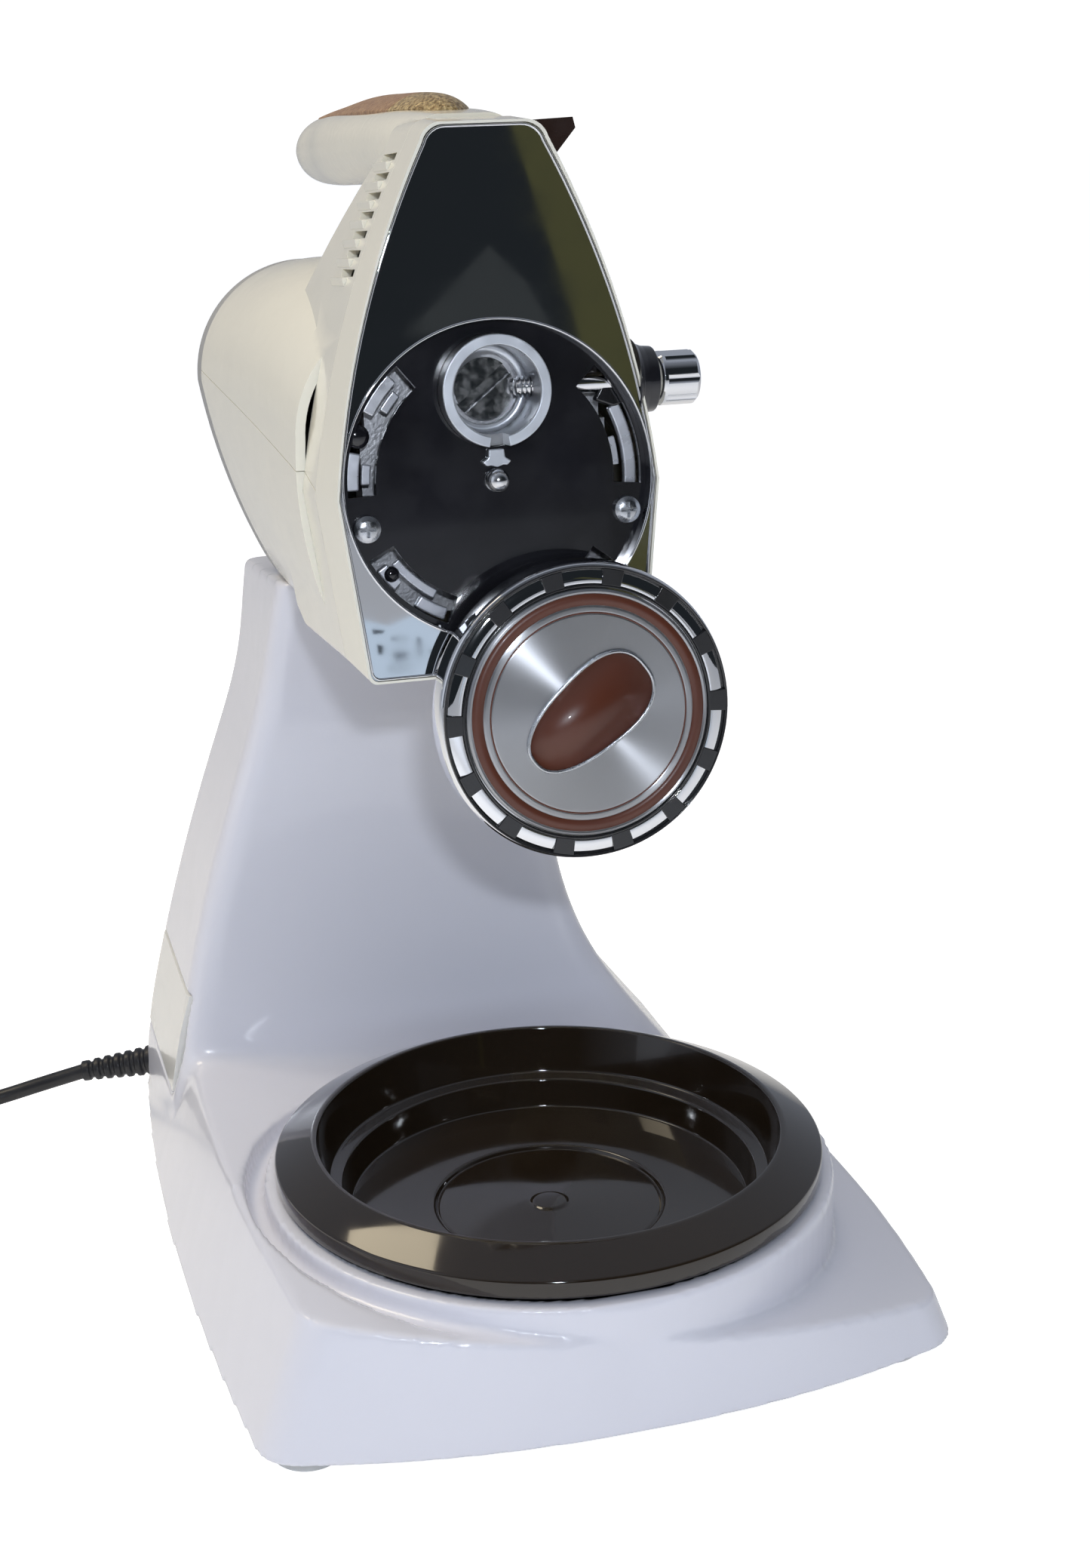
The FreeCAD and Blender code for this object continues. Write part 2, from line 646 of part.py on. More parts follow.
def make_front_plate():
    thick, radius = size("plate_thick"), size("opening_radius")
    plate = spade_prism(0.0, 0.0, thick)
    back = Vector(0, 1, 0)
    flange = Part.makeCylinder(radius + 0.8, size("disc_back"), Vector(0, 0, 0), back)
    plate = plate.fuse(flange).cut(Part.makeCylinder(radius, 20, Vector(0, -5, 0), back))
    free_shape("front_plate", plate, HEAD)


def make_rear_cap():
    """The grey end cap, with a hole for the speed dial's stem."""
    last = MOTOR_SECTIONS[2][1:]
    start = size("cap_back") + 0.2
    sections = (
        (start, 0.3), (start + 12.0, 0.6), (start + 18.0, 3.2), (start + size("cap_depth") + 4.0, 9.0),
    )
    cap = Part.makeLoft([motor_wire(back, *last, inset) for back, inset in sections], True, False)
    hollow_ends = [motor_wire(start - 1.0, *last, 3.0), motor_wire(start + 14.0, *last, 4.5)]
    hollow = Part.makeLoft(hollow_ends, True, True)
    seat = HEAD_SEAT + 0.8
    heel_skin = heel_wedge(112.0, seat - 17.0)
    cap = cap.cut(hollow.cut(heel_skin)).cut(heel_wedge(115.0, seat - 17.0))
    pin_line = Vector(-23.0, size("hinge_back"), size("hinge_up"))
    cap = cap.cut(Part.makeCylinder(15.5, 46, pin_line, Vector(1, 0, 0)))
    cap = cap.cut(Part.makeCylinder(3.1, 60, Vector(0, 120, 22), Vector(0, 1, 0)))
    solids = sorted(cap.Solids, key=lambda solid: solid.Volume)
    free_shape("rear_cap", solids[-1], HEAD)


def make_handle_trim():
    free_shape("handle_insert", pad_solid(INSERT_LOW).common(slab(PAD_SPLIT + 0.3, 170.0)), HEAD)
    free_shape("burst_button", pad_solid(BUTTON_LOW).common(slab(0.0, PAD_SPLIT - 0.1)), HEAD)


def make_lever():
    corners = [("2", "77"), ("11", "74.6"), ("21.6", "76.6"), ("27.2", "83"), ("26.6", "85.6"),
               ("16", "85.2"), ("11", "83"), ("2", "82.4")]
    blade = padded("lever_blade", UP, corners, "6.2")
    pivot = rod("lever_pivot", on_stand(5, 80, -0.6), "2.2", "3")
    place = in_head(0, "frame_depth + 7.2", 0, FACING)
    node(joined("beater_release_lever", [blade, pivot]), "beater_release_lever", place)


def make_dial():
    corners = [("0", "-21"), ("3", "-21"), ("3", "0"), ("23.5", "0"), ("25", "1.5"), ("24", "8"),
               ("21", "9.4"), ("0", "9.4")]
    place = in_head(0, "cap_back + cap_depth + 5", 22, BACKWARD)
    node(turned("speed_dial", place, corners), "speed_dial")


# ---------------------------------------------------------------- front drive
def make_hub_disc():
    back, thick = size("disc_back") + 0.1, size("disc_thick")
    face = Vector(0, 1, 0)
    disc = Part.makeCylinder(size("disc_radius"), thick, Vector(0, back, 0), face)
    windows = ((129, 183), (-5, 45), (208, 248), (292, 323))
    for start, stop in windows:
        outer = Part.makeCylinder(37.2, 20, Vector(0, -5, 0), face, stop - start)
        window = outer.cut(Part.makeCylinder(30.2, 20, Vector(0, -5, 0), face))
        # a cylinder along Y starts its sweep at +Z and turns towards +X
        window.rotate(Vector(0, 0, 0), face, 90.0 - stop)
        disc = disc.cut(window)
    socket_place = Vector(0, -5, size("socket_up"))
    disc = disc.cut(Part.makeCylinder(size("socket_radius") + 0.1, 20, socket_place, face))
    for side in (-1, 1):
        place = Vector(side * size("screw_across"), -5, size("screw_up"))
        disc = disc.cut(Part.makeCylinder(1.6, 20, place, face))
    disc = disc.cut(Part.makeCylinder(size("ball_radius") + 0.1, 20, Vector(0, -5, 0), face))
    pin_place = Vector(size("cover_pin_across"), -5, size("cover_pin_up"))
    disc = disc.cut(Part.makeCylinder(size("cover_pin_radius"), 20, pin_place, face))
    free_shape("hub_disc", disc, HEAD)


def make_socket():
    mouth = local(0, "socket_front", "socket_up", BACKWARD)
    outer = rod("socket_outer", mouth, "socket_radius", "socket_depth + 3")
    bore = rod("socket_bore_hole", local(0, "socket_front - 1", "socket_up", BACKWARD), "socket_bore",
               "socket_depth + 1")
    step = rod("socket_step_hole", mouth, "socket_step", "30")
    keyway = block("socket_keyway", (-2.6, "socket_front - 1", "socket_up - socket_radius - 1"),
                   (2.6, "socket_front + 7", "socket_up - socket_bore + 2"))
    thread = rod("socket_thread", local(0, "knob_back", "socket_up", RIGHTWARD),
                 "shank_radius + running_gap", "30")
    node(less("hub_socket", outer, [bore, step, keyway, thread]), "hub_socket", HEAD)


def make_thumbscrew():
    """Fluted knob and threaded shank, drawn along Z and turned to point across the head."""
    start = "socket_bore + 0.4"
    near = f"knob_start - ( {start} )"
    far = f"{near} + knob_length"
    corners = [
        ("0", "0"), ("shank_radius", "0"), ("shank_radius", near), ("knob_radius - 1", near),
        ("knob_radius", f"{near} + 1.5"), ("knob_radius", f"{far} - 1"), ("knob_radius - 1", far), ("0", far),
    ]
    screw = turned("thumbscrew_body", UP, corners)
    flutes = []
    for number in range(8):
        angle = math.radians(45.0 * number)
        reach = size("knob_radius") + 0.9
        place = on_stand(reach * math.cos(angle), reach * math.sin(angle), size("knob_start") - 9.0)
        flutes.append(rod(f"flute_{number}", place, "1.5", "30"))
    place = in_head(start, "knob_back", "socket_up", RIGHTWARD)
    node(less("hub_thumbscrew", screw, flutes), "hub_thumbscrew", place)


def make_disc_details():
    ball = primitive("Sphere", "ball_body", in_head(0, "1.9", 0), Radius="ball_radius")
    node(ball, "detent_ball")
    spring = ring_corners("1.5", "2.1", "0", "7.9")
    node(turned("detent_spring", in_head(0, "4.3", 0, BACKWARD), spring), "detent_spring")
    cup = [("2.3", "0"), ("3.6", "0"), ("3.6", "8.5"), ("0", "8.5"), ("0", "6.9"), ("2.3", "6.9")]
    node(turned("detent_cup", in_head(0, "disc_back + disc_thick + 0.2", 0, BACKWARD), cup), "detent_cup")
    screws = []
    for number, side in enumerate((-1, 1)):
        across = side * size("screw_across")
        head = turned(f"hub_screw_head_{number}", local(across, "disc_back + 0.1", "screw_up", FACING),
                      [("0", "0"), ("3.5", "0"), ("3.3", "1.4"), ("2", "2.1"), ("0", "2.2")])
        recess = block(f"hub_screw_slot_{number}", (across - 0.35, "0", "screw_up - 1.9"),
                       (across + 0.35, "disc_back - 0.9", "screw_up + 1.9"))
        cross = block(f"hub_screw_cross_{number}", (across - 1.9, "0", "screw_up - 0.35"),
                      (across + 1.9, "disc_back - 0.9", "screw_up + 0.35"))
        under = local(across, "disc_back + 0.1", "screw_up", BACKWARD)
        shank = rod(f"hub_screw_shank_{number}", under, "1.6", "12")
        top = less(f"hub_screw_top_{number}", head, [recess, cross])
        screws.append(joined(f"hub_screw_{number}", [top, shank]))
    node(group("hub_screws", screws), "hub_screws", HEAD)


def make_cover():
    """The cover stands open: its centre hangs to the right of and below its pivot pin."""
    back, depth = "cover_back", "cover_depth"
    place = in_head("cover_across", back, "cover_up", FACING)
    rim = "cover_radius"
    cup = [("0", f"{depth} - 1.5"), (f"{rim} - 1.4", f"{depth} - 1.5"), (f"{rim} - 1.4", "0"), (rim, "0"),
           (rim, f"{depth} - 1"), (f"{rim} - 1", depth), ("0", depth)]
    shell = turned("cover_cup", UP, cup)
    pin_place = on_stand("cover_pin_across - cover_across", "cover_pin_up - cover_up", 0)
    boss = rod("cover_boss", pin_place, "5", f"{depth} - 1")
    bore = rod("cover_bore", pin_place.multiply(Placement(Vector(0, 0, -1), UPRIGHT)),
               "cover_pin_radius + running_gap", f"{depth} - 0.6")
    node(less("hub_cover", joined("cover_solid", [shell, boss]), [bore]), "hub_cover", place)

    front = in_head("cover_across", f"{back} - {depth}", "cover_up", FACING)
    trim = turned("trim_ring", UP, ring_corners("badge_radius + 0.3", f"{rim} - 0.8", "0", "1.2"))
    windows = []
    for number in range(14):
        turn = Rotation(Vector(0, 0, 1), number * 360.0 / 14)
        place = Placement(Vector(), turn).multiply(on_stand(32.2, -4.8, 0.5))
        window = primitive("Box", f"trim_window_{number}", place, Length="3.6", Width="9.6", Height="0.9")
        windows.append(window)
    node(less("cover_trim", trim, windows), "cover_trim", front)
    badge = [("0", "0"), ("badge_radius", "0"), ("badge_radius", "1.2"), ("badge_radius - 0.8", "1.8"),
             ("20", "2.1"), ("0", "2.3")]
    node(turned("cover_badge", front, badge), "cover_badge")
    pin = [("0", "0"), ("4.2", "0"), ("4.2", "2"), ("cover_pin_radius", "2"),
           ("cover_pin_radius", "14.6"), ("0", "14.6")]
    pin_start = in_head("cover_pin_across", "disc_back + disc_thick + 2.1", "cover_pin_up", FACING)
    node(turned("cover_pin", pin_start, pin), "cover_pin")


# ---------------------------------------------------------------- motor and gears
def make_gearbox_frame():
    """The die-cast frame that carries the socket, the spindles, the motor and the hinge barrel."""
    parts = [
        block("frame_front", (-30, "socket_depth + 1.6", -28), (30, "socket_depth + 4.6", 37)),
        block("frame_floor", (-30, "socket_depth + 1.6", -33), (30, 60, -28)),
        block("frame_shelf", (-30, 27, 9), (30, 60, 12.5)),
        block("frame_wall", (-30, 56, -33), (30, 60, 14)),
        block("frame_left", (-31.5, "socket_depth + 1.6", -33), (-28.5, 22.4, 12.5)),
        block("frame_right", (28.5, "socket_depth + 1.6", -33), (31.5, 22.4, 12.5)),
        block("frame_cradle", (-15.4, 60, -33), (15.4, 128, -29)),
        block("frame_saddle", (-20, 74, -30), (20, 106, -24)),
        rod("frame_barrel", local(-15.4, "hinge_back", "hinge_up", RIGHTWARD), "8", "30.8"),
    ]
    holes = [
        rod("barrel_hole", local(-30, "hinge_back", "hinge_up", RIGHTWARD),
            "hinge_pin_radius + running_gap", "60"),
        rod("shaft_hole", local(0, 0, "motor_up", BACKWARD), "shaft_radius + 0.3", "70"),
        rod("bearing_hole", local(0, 55, "motor_up", BACKWARD), "bearing_radius", "10"),
        rod("hub_hole", local(0, 0, "socket_up", BACKWARD), "4 + running_gap", "30"),
    ]
    for side in (-1, 1):
        across = side * size("spindle_across")
        holes.append(rod(f"spindle_hole_{side + 1}", local(across, "spindle_back", -60),
                         "spindle_radius + running_gap", "62"))
        holes.append(rod(f"journal_hole_{side + 1}", local(across, "spindle_back", 0), "3.06", "30"))
    node(less("gearbox_frame", joined("frame_parts", parts), holes), "gearbox_frame", HEAD)


def make_motor():
    across = local(0, 0, "motor_up", BACKWARD)
    shaft = [("0", "14.8"), ("shaft_radius", "14.8"), ("shaft_radius", "27"), ("5.8", "27"), ("5.8", "49"),
             ("shaft_radius", "49"), ("shaft_radius", "138"), ("0", "138")]
    body = turned("armature_turning", across, shaft)
    pinion = toothed("armature_pinion", local(0, 18.4, "motor_up", BACKWARD), "gear_module * 3.05",
                     "gear_module * 4.8", PINION_TEETH, "5.6", "2")
    node(joined("armature_shaft", [body, pinion]), "armature_shaft", HEAD)
    core = rod("core_body", local(0, 74, "motor_up", BACKWARD), "core_radius", "32")
    slots = [rod("core_bore", local(0, 70, "motor_up", BACKWARD), "shaft_radius", "40")]
    for number in range(12):
        angle = math.radians(30.0 * number)
        reach = size("core_radius") - 1.0
        place = local(reach * math.cos(angle), 70, size("motor_up") + reach * math.sin(angle), BACKWARD)
        slots.append(rod(f"core_slot_{number}", place, "1.4", "40"))
    node(less("armature_core", core, slots), "armature_core", HEAD)
    collector = ring_corners("shaft_radius", "9", "112", "124")
    node(turned("commutator", HEAD.multiply(across), collector), "commutator")

    hub = turned("fan_hub", across, ring_corners("shaft_radius", "7", "61.5", "69"))
    web = turned("fan_web", across, ring_corners("6", "24", "61.5", "63"))
    blades = []
    for number in range(9):
        turn = Rotation(Vector(0, 0, 1), number * 40.0)
        blade = primitive("Box", f"fan_blade_{number}", Placement(), Length="17", Width="1.2", Height="6.5")
        place = Placement(Vector(), turn).multiply(Placement(Vector(6.4, -0.6, 62.5), UPRIGHT))
        blade.Placement = across.multiply(place)
        blades.append(blade)
    node(joined("cooling_fan", [hub, web] + blades), "cooling_fan", HEAD)

    for label, near, far in (("front_bearing", "56", "60.4"), ("rear_bearing", "131.2", "137")):
        bush = ring_corners("shaft_radius + running_gap", "bearing_radius", near, far)
        node(turned(label, HEAD.multiply(across), bush), label)


def make_stator():
    stack = block("stator_stack", (-28, 74, "motor_up - 26"), (28, 106, "motor_up + 26"))
    core = rod("stator_bore", local(0, 70, "motor_up", BACKWARD), "core_radius + 0.6", "40")
    windows = []
    for side in (-1, 1):
        low, high = sorted((side * 19.5, side * 24.0))
        window = block(f"stator_window_{side + 1}", (low, 70, "motor_up - 9"), (high, 110, "motor_up + 9"))
        windows.append(window)
    node(less("motor_stator", stack, [core] + windows), "motor_stator", HEAD)
    coils = []
    for side in (-1, 1):
        low, high = sorted((side * 19.7, side * 23.8))
        leg = block(f"coil_leg_{side + 1}", (low, 71.5, "motor_up - 8.8"), (high, 108.5, "motor_up + 8.8"))
        coils.append(leg)
    node(group("field_coils", coils), "field_coils", HEAD)


def make_brush_gear():
    plate = block("end_plate", (-32, 127.6, -13), (32, 131, 22))
    boss = rod("end_boss", local(0, 127.6, "motor_up", BACKWARD), "11", "9.4")
    seat = rod("end_seat", local(0, 130.9, "motor_up", BACKWARD), "bearing_radius", "20")
    shaft_hole = rod("end_hole", local(0, 100, "motor_up", BACKWARD), "shaft_radius + 0.4", "60")
    arms = []
    slots = []
    for side in (-1, 1):
        low, high = sorted((side * 10.5, side * 25.0))
        arm = block(f"holder_{side + 1}", (low, 113, "motor_up - 4.6"), (high, 127.6, "motor_up + 4.6"))
        low, high = sorted((side * 8.0, side * 26.0))
        slot = block(f"holder_slot_{side + 1}", (low, 114.9, "motor_up - 2.6"),
                     (high, 121.1, "motor_up + 2.6"))
        arms.append(arm)
        slots.append(slot)
    frame = joined("end_parts", [plate, boss] + arms)
    node(less("motor_end_frame", frame, [seat, shaft_hole] + slots), "motor_end_frame", HEAD)
    brushes = []
    for side in (-1, 1):
        low, high = sorted((side * 9.15, side * 21.0))
        brush = block(f"brush_{side + 1}", (low, 115, "motor_up - 2.5"), (high, 121, "motor_up + 2.5"))
        brushes.append(brush)
    node(group("brushes", brushes), "brushes", HEAD)
    board = block("board_plate", (-16, 139.2, 12), (16, 141, 36))
    hole = rod("board_hole", local(0, 130, 22, BACKWARD), "3.4", "30")
    node(less("speed_control", board, [hole]), "speed_control", HEAD)


def make_spindles():
    for name, side in (("left", -1), ("right", 1)):
        across = side * size("spindle_across")
        corners = [
            ("beater_bore", "-43"), ("spindle_radius", "-43"), ("spindle_radius", "-27.9"), ("4.6", "-27.9"),
            ("4.6", "6"), ("3", "6"), ("3", "13"), ("0", "13"), ("0", "-22"), ("beater_bore", "-22"),
        ]
        label = f"beater_spindle_{name}"
        spindle = turned(label, in_head(across, "spindle_back", 0), corners)
        node(spindle, label)
        label = f"worm_wheel_{name}"
        place = in_head(across, "spindle_back", "motor_up - wheel_thick / 2")
        node(toothed(label, place, "wheel_root", "wheel_tip", WHEEL_TEETH, "wheel_thick", "4.6"), label)
    shaft = [("0", "11.1"), ("7.6", "11.1"), ("7.6", "14"), ("4", "14"), ("4", "30"), ("0", "30")]
    turning = turned("hub_turning", local(0, 0, "socket_up", BACKWARD), shaft)
    slot = block("hub_slot", (-1.5, 9, "socket_up - 9"), (1.5, 13, "socket_up + 9"))
    node(less("hub_spindle", turning, [slot]), "hub_spindle", HEAD)
    half_pitch = 180.0 / HUB_TEETH
    mesh = Rotation(Vector(0, 0, 1), 90.0 + half_pitch)
    place = in_head(0, "18.6", "socket_up", BACKWARD).multiply(Placement(Vector(), mesh))
    gear = toothed("hub_gear", place, "gear_module * 12.9", "gear_module * 14.7", HUB_TEETH, "5.2", "4")
    node(gear, "hub_gear")


# ---------------------------------------------------------------- cord
RELIEF_START = Vector(-92.0, 160.0, 17.0)
ROUTE = (
    Vector(-116.0, 167.0, 13.0), Vector(-129.0, 171.5, 8.5), Vector(-144.0, 174.5, 4.0),
    Vector(-159.0, 171.5, 3.1), Vector(-171.0, 164.5, 3.0), Vector(-184.0, 161.0, 3.0),
)
COIL_CENTRE = Vector(-193.0, 190.0, 0.0)


def cord_path(points):
    """Straight runs joined by tangent arcs, each as large as its two runs allow."""
    edges = []
    start = points[0]
    radii = []
    for before, corner, after in zip(points, points[1:], points[2:]):
        arrive, leave = (corner - before), (after - corner)
        shorter = min(arrive.Length, leave.Length)
        half_turn = arrive.getAngle(leave) / 2
        arrive.normalize()
        leave.normalize()
        radius = 0.45 * shorter / math.tan(half_turn)
        radii.append(round(radius, 1))
        entry = corner - arrive * (0.45 * shorter)
        leaving = corner + leave * (0.45 * shorter)
        inward = (leave - arrive)
        inward.normalize()
        middle = corner + inward * (radius / math.cos(half_turn) - radius)
        edges += [line(start, entry), arc(entry, middle, leaving)]
        start = leaving
    edges.append(line(start, points[-1]))
    print("cord radii", radii)
    return Part.Wire(edges)


def make_cord():
    radius = size("cord_radius")
    path = cord_path(ROUTE)
    heading = ROUTE[1] - ROUTE[0]
    ring = Part.Wire([Part.Circle(ROUTE[0], heading, radius).toShape()])
    tube = path.makePipeShell([ring], True, False)
    expected = math.pi * radius ** 2 * path.Length
    print("cord length", round(path.Length, 1), "volume ratio", round(tube.Volume / expected, 4))
    free_shape("power_cord", tube)
    axis = ROUTE[0] - RELIEF_START
    relief = Part.makeCone(5.2, radius + 0.9, axis.Length, RELIEF_START, axis)
    free_shape("strain_relief", relief)
    coil = [("coil_inner", "2"), ("coil_inner + 2", "0.1"), ("coil_outer - 2", "0.1"), ("coil_outer", "2"),
            ("coil_outer", "coil_height - 2"), ("coil_outer - 2", "coil_height"),
            ("coil_inner + 2", "coil_height"), ("coil_inner", "coil_height - 2")]
    node(turned("cord_coil", Placement(COIL_CENTRE, UPRIGHT), coil), "cord_coil")
    across = COIL_CENTRE.x - 33.0
    start = COIL_CENTRE.y + 14.0
    grip = Part.makeLoft([
        Part.Wire([Part.Circle(Vector(across, start, 6.6), Vector(0, 1, 0), 3.4).toShape()]),
        Part.Wire([Part.Circle(Vector(across, start + 12.0, 6.6), Vector(0, 1, 0), 6.4).toShape()]),
        Part.Wire([Part.Circle(Vector(across, start + 30.0, 6.6), Vector(0, 1, 0), 6.5).toShape()]),
    ], True, False)
    for side in (-1, 1):
        corner = Vector(across + side * 4.5 - 0.75, start + 29.0, 3.4)
        grip = grip.fuse(Part.makeBox(1.5, 18.0, 6.4, corner))
    free_shape("plug", grip)


# ---------------------------------------------------------------- build, check and write
def check_document():
    doc.recompute()
    for obj in doc.Objects:
        bad = [state for state in obj.State if state in ("Invalid", "Error")]
        if bad:
            raise RuntimeError(f"{obj.Label} failed: {bad}")
    for obj in NODES:
        if obj.Shape.isNull() or not obj.Shape.isValid() or not obj.Shape.Solids:
            raise RuntimeError(f"{obj.Label} has no valid solid")


def write_parts():
    os.makedirs("parts", exist_ok=True)
    for obj in NODES:
        obj.Shape.exportStep(f"parts/{obj.Label}.step")
        box = obj.Shape.BoundBox
        low = f"{box.XMin:.1f} {box.YMin:.1f} {box.ZMin:.1f}"
        high = f"{box.XMax:.1f} {box.YMax:.1f} {box.ZMax:.1f}"
        solids, volume = len(obj.Shape.Solids), obj.Shape.Volume / 1000
        print(f"{obj.Label:24s} solids {solids} volume {volume:.2f} cm3 from {low} to {high}")


fill_sheet()
UP = Placement()
HEAD = head_frame()
make_stand()
make_turntable()
make_hinge()
make_housings()
make_front_frame()
make_front_plate()
make_rear_cap()
make_handle_trim()
make_lever()
make_dial()
make_hub_disc()
make_socket()
make_thumbscrew()
make_disc_details()
make_cover()
make_gearbox_frame()
make_motor()
make_stator()
make_brush_gear()
make_spindles()
make_cord()
check_document()
write_parts()
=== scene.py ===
# Studio scene of a household stand mixer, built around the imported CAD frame. Metres throughout.
import json
import math

import bmesh
import bpy
from mathutils import Matrix, Vector
from mathutils.bvhtree import BVHTree


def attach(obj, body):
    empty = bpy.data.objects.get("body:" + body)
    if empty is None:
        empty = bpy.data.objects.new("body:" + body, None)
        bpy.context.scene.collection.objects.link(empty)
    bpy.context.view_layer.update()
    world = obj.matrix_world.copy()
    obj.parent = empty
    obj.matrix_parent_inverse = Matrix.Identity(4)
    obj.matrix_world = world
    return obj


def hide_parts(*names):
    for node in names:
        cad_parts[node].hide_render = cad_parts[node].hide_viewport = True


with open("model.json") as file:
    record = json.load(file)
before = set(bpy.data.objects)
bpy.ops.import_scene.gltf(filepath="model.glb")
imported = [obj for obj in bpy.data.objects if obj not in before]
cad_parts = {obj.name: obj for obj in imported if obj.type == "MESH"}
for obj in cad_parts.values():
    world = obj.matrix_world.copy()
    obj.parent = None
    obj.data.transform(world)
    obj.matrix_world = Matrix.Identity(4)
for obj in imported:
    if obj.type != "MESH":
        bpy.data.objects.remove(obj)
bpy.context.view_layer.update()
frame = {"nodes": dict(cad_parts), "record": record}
NODES = frame["nodes"]
MM = 0.001

# ---------------------------------------------------------------- the head's own frame
HEAD_TILT = math.radians(5.0)
HEAD = Matrix.Translation(Vector((-13.6, -18.0, 240.0)) * MM) @ Matrix.Rotation(-HEAD_TILT, 4, "X")
FACING = Matrix.Rotation(math.radians(90.0), 4, "X")
RIGHTWARD = Matrix.Rotation(math.radians(90.0), 4, "Y")
UPRIGHT = Matrix.Identity(4)


def in_head(across, back, up, turn=UPRIGHT):
    """A place in the head's frame: millimetres across, back from the face plate and up it."""
    return HEAD @ Matrix.Translation(Vector((across, back, up)) * MM) @ turn


# ---------------------------------------------------------------- camera
CAMERA_PLACE = Vector((-0.1533, -0.5504, 0.3453))
CAMERA_AIM = Vector((0.0012, 0.0, 0.1548))
CAMERA_ROLL = math.radians(-1.2)
SENSOR_WIDTH, FOCAL_LENGTH = 36.0, 52.28


def make_camera():
    back = (CAMERA_PLACE - CAMERA_AIM).normalized()
    level = Vector((0, 0, 1)).cross(back).normalized()
    above = back.cross(level)
    right = math.cos(CAMERA_ROLL) * level + math.sin(CAMERA_ROLL) * above
    up = -math.sin(CAMERA_ROLL) * level + math.cos(CAMERA_ROLL) * above
    data = bpy.data.cameras.new("Camera")
    data.sensor_width = SENSOR_WIDTH
    data.lens = FOCAL_LENGTH
    data.clip_start = 0.02
    camera = bpy.data.objects.new("Camera", data)
    camera.matrix_world = Matrix(
        (
            (right.x, up.x, back.x, CAMERA_PLACE.x),
            (right.y, up.y, back.y, CAMERA_PLACE.y),
            (right.z, up.z, back.z, CAMERA_PLACE.z),
            (0, 0, 0, 1),
        )
    )
    bpy.context.scene.collection.objects.link(camera)
    bpy.context.scene.camera = camera


# ---------------------------------------------------------------- node material helpers
COAT_ROUGHNESS = 0.04
EVEN = (1, 1, 1)


class Finish:
    """A principled material with the few procedural touches that the pieces share."""

    def __init__(self, name, color, roughness, metallic=0.0, coat=0.0):
        self.material = bpy.data.materials.new(name)
        self.material.use_nodes = True
        self.tree = self.material.node_tree
        self.shader = self.tree.nodes["Principled BSDF"]
        self.color = (*color, 1.0)
        self.shader.inputs["Base Color"].default_value = self.color
        self.shader.inputs["Roughness"].default_value = roughness
        self.shader.inputs["Metallic"].default_value = metallic
        self.shader.inputs["Coat Weight"].default_value = coat
        self.shader.inputs["Coat Roughness"].default_value = COAT_ROUGHNESS

    def node(self, kind, **values):
        made = self.tree.nodes.new(kind)
        for key, value in values.items():
            setattr(made, key, value)
        return made

    def link(self, source, target):
        self.tree.links.new(source, target)

    def place(self):
        return self.node("ShaderNodeTexCoord").outputs["Object"]

    def noise(self, scale, detail, stretch):
        mapping = self.node("ShaderNodeMapping")
        mapping.inputs["Scale"].default_value = stretch
        self.link(self.place(), mapping.inputs["Vector"])
        texture = self.node("ShaderNodeTexNoise")
        texture.inputs["Scale"].default_value = scale
        texture.inputs["Detail"].default_value = detail
        self.link(mapping.outputs["Vector"], texture.inputs["Vector"])
        return texture.outputs["Fac"]

    def ramp(self, source, low, high, start=0.35, stop=0.65):
        """A smooth step of source from low to high: numbers, or colours of three numbers."""
        if isinstance(low, (int, float)):
            step = self.node("ShaderNodeMapRange")
            step.inputs["From Min"].default_value = start
            step.inputs["From Max"].default_value = stop
            step.inputs["To Min"].default_value = low
            step.inputs["To Max"].default_value = high
            self.link(source, step.inputs["Value"])
            return step.outputs["Result"]
        step = self.node("ShaderNodeValToRGB")
        step.color_ramp.elements[0].position = start
        step.color_ramp.elements[0].color = (*low, 1.0)
        step.color_ramp.elements[1].position = stop
        step.color_ramp.elements[1].color = (*high, 1.0)
        self.link(source, step.inputs["Fac"])
        return step.outputs["Color"]

    def tinted(self, scale, other, start=0.35, stop=0.65):
        """Colour that drifts between the base colour and another."""
        source = self.noise(scale, 4.0, EVEN)
        color = self.ramp(source, self.color[:3], other, start, stop)
        self.link(color, self.shader.inputs["Base Color"])
        return self

    def worn(self, scale, low, high):
        """Roughness that drifts over the surface."""
        source = self.noise(scale, 4.0, EVEN)
        self.link(self.ramp(source, low, high), self.shader.inputs["Roughness"])
        return self

    def grained(self, scale, height, stretch=EVEN):
        """A fine bump, height metres deep."""
        bump = self.node("ShaderNodeBump")
        bump.inputs["Strength"].default_value = 1.0
        bump.inputs["Distance"].default_value = height
        self.link(self.noise(scale, 2.0, stretch), bump.inputs["Height"])
        self.link(bump.outputs["Normal"], self.shader.inputs["Normal"])
        return self


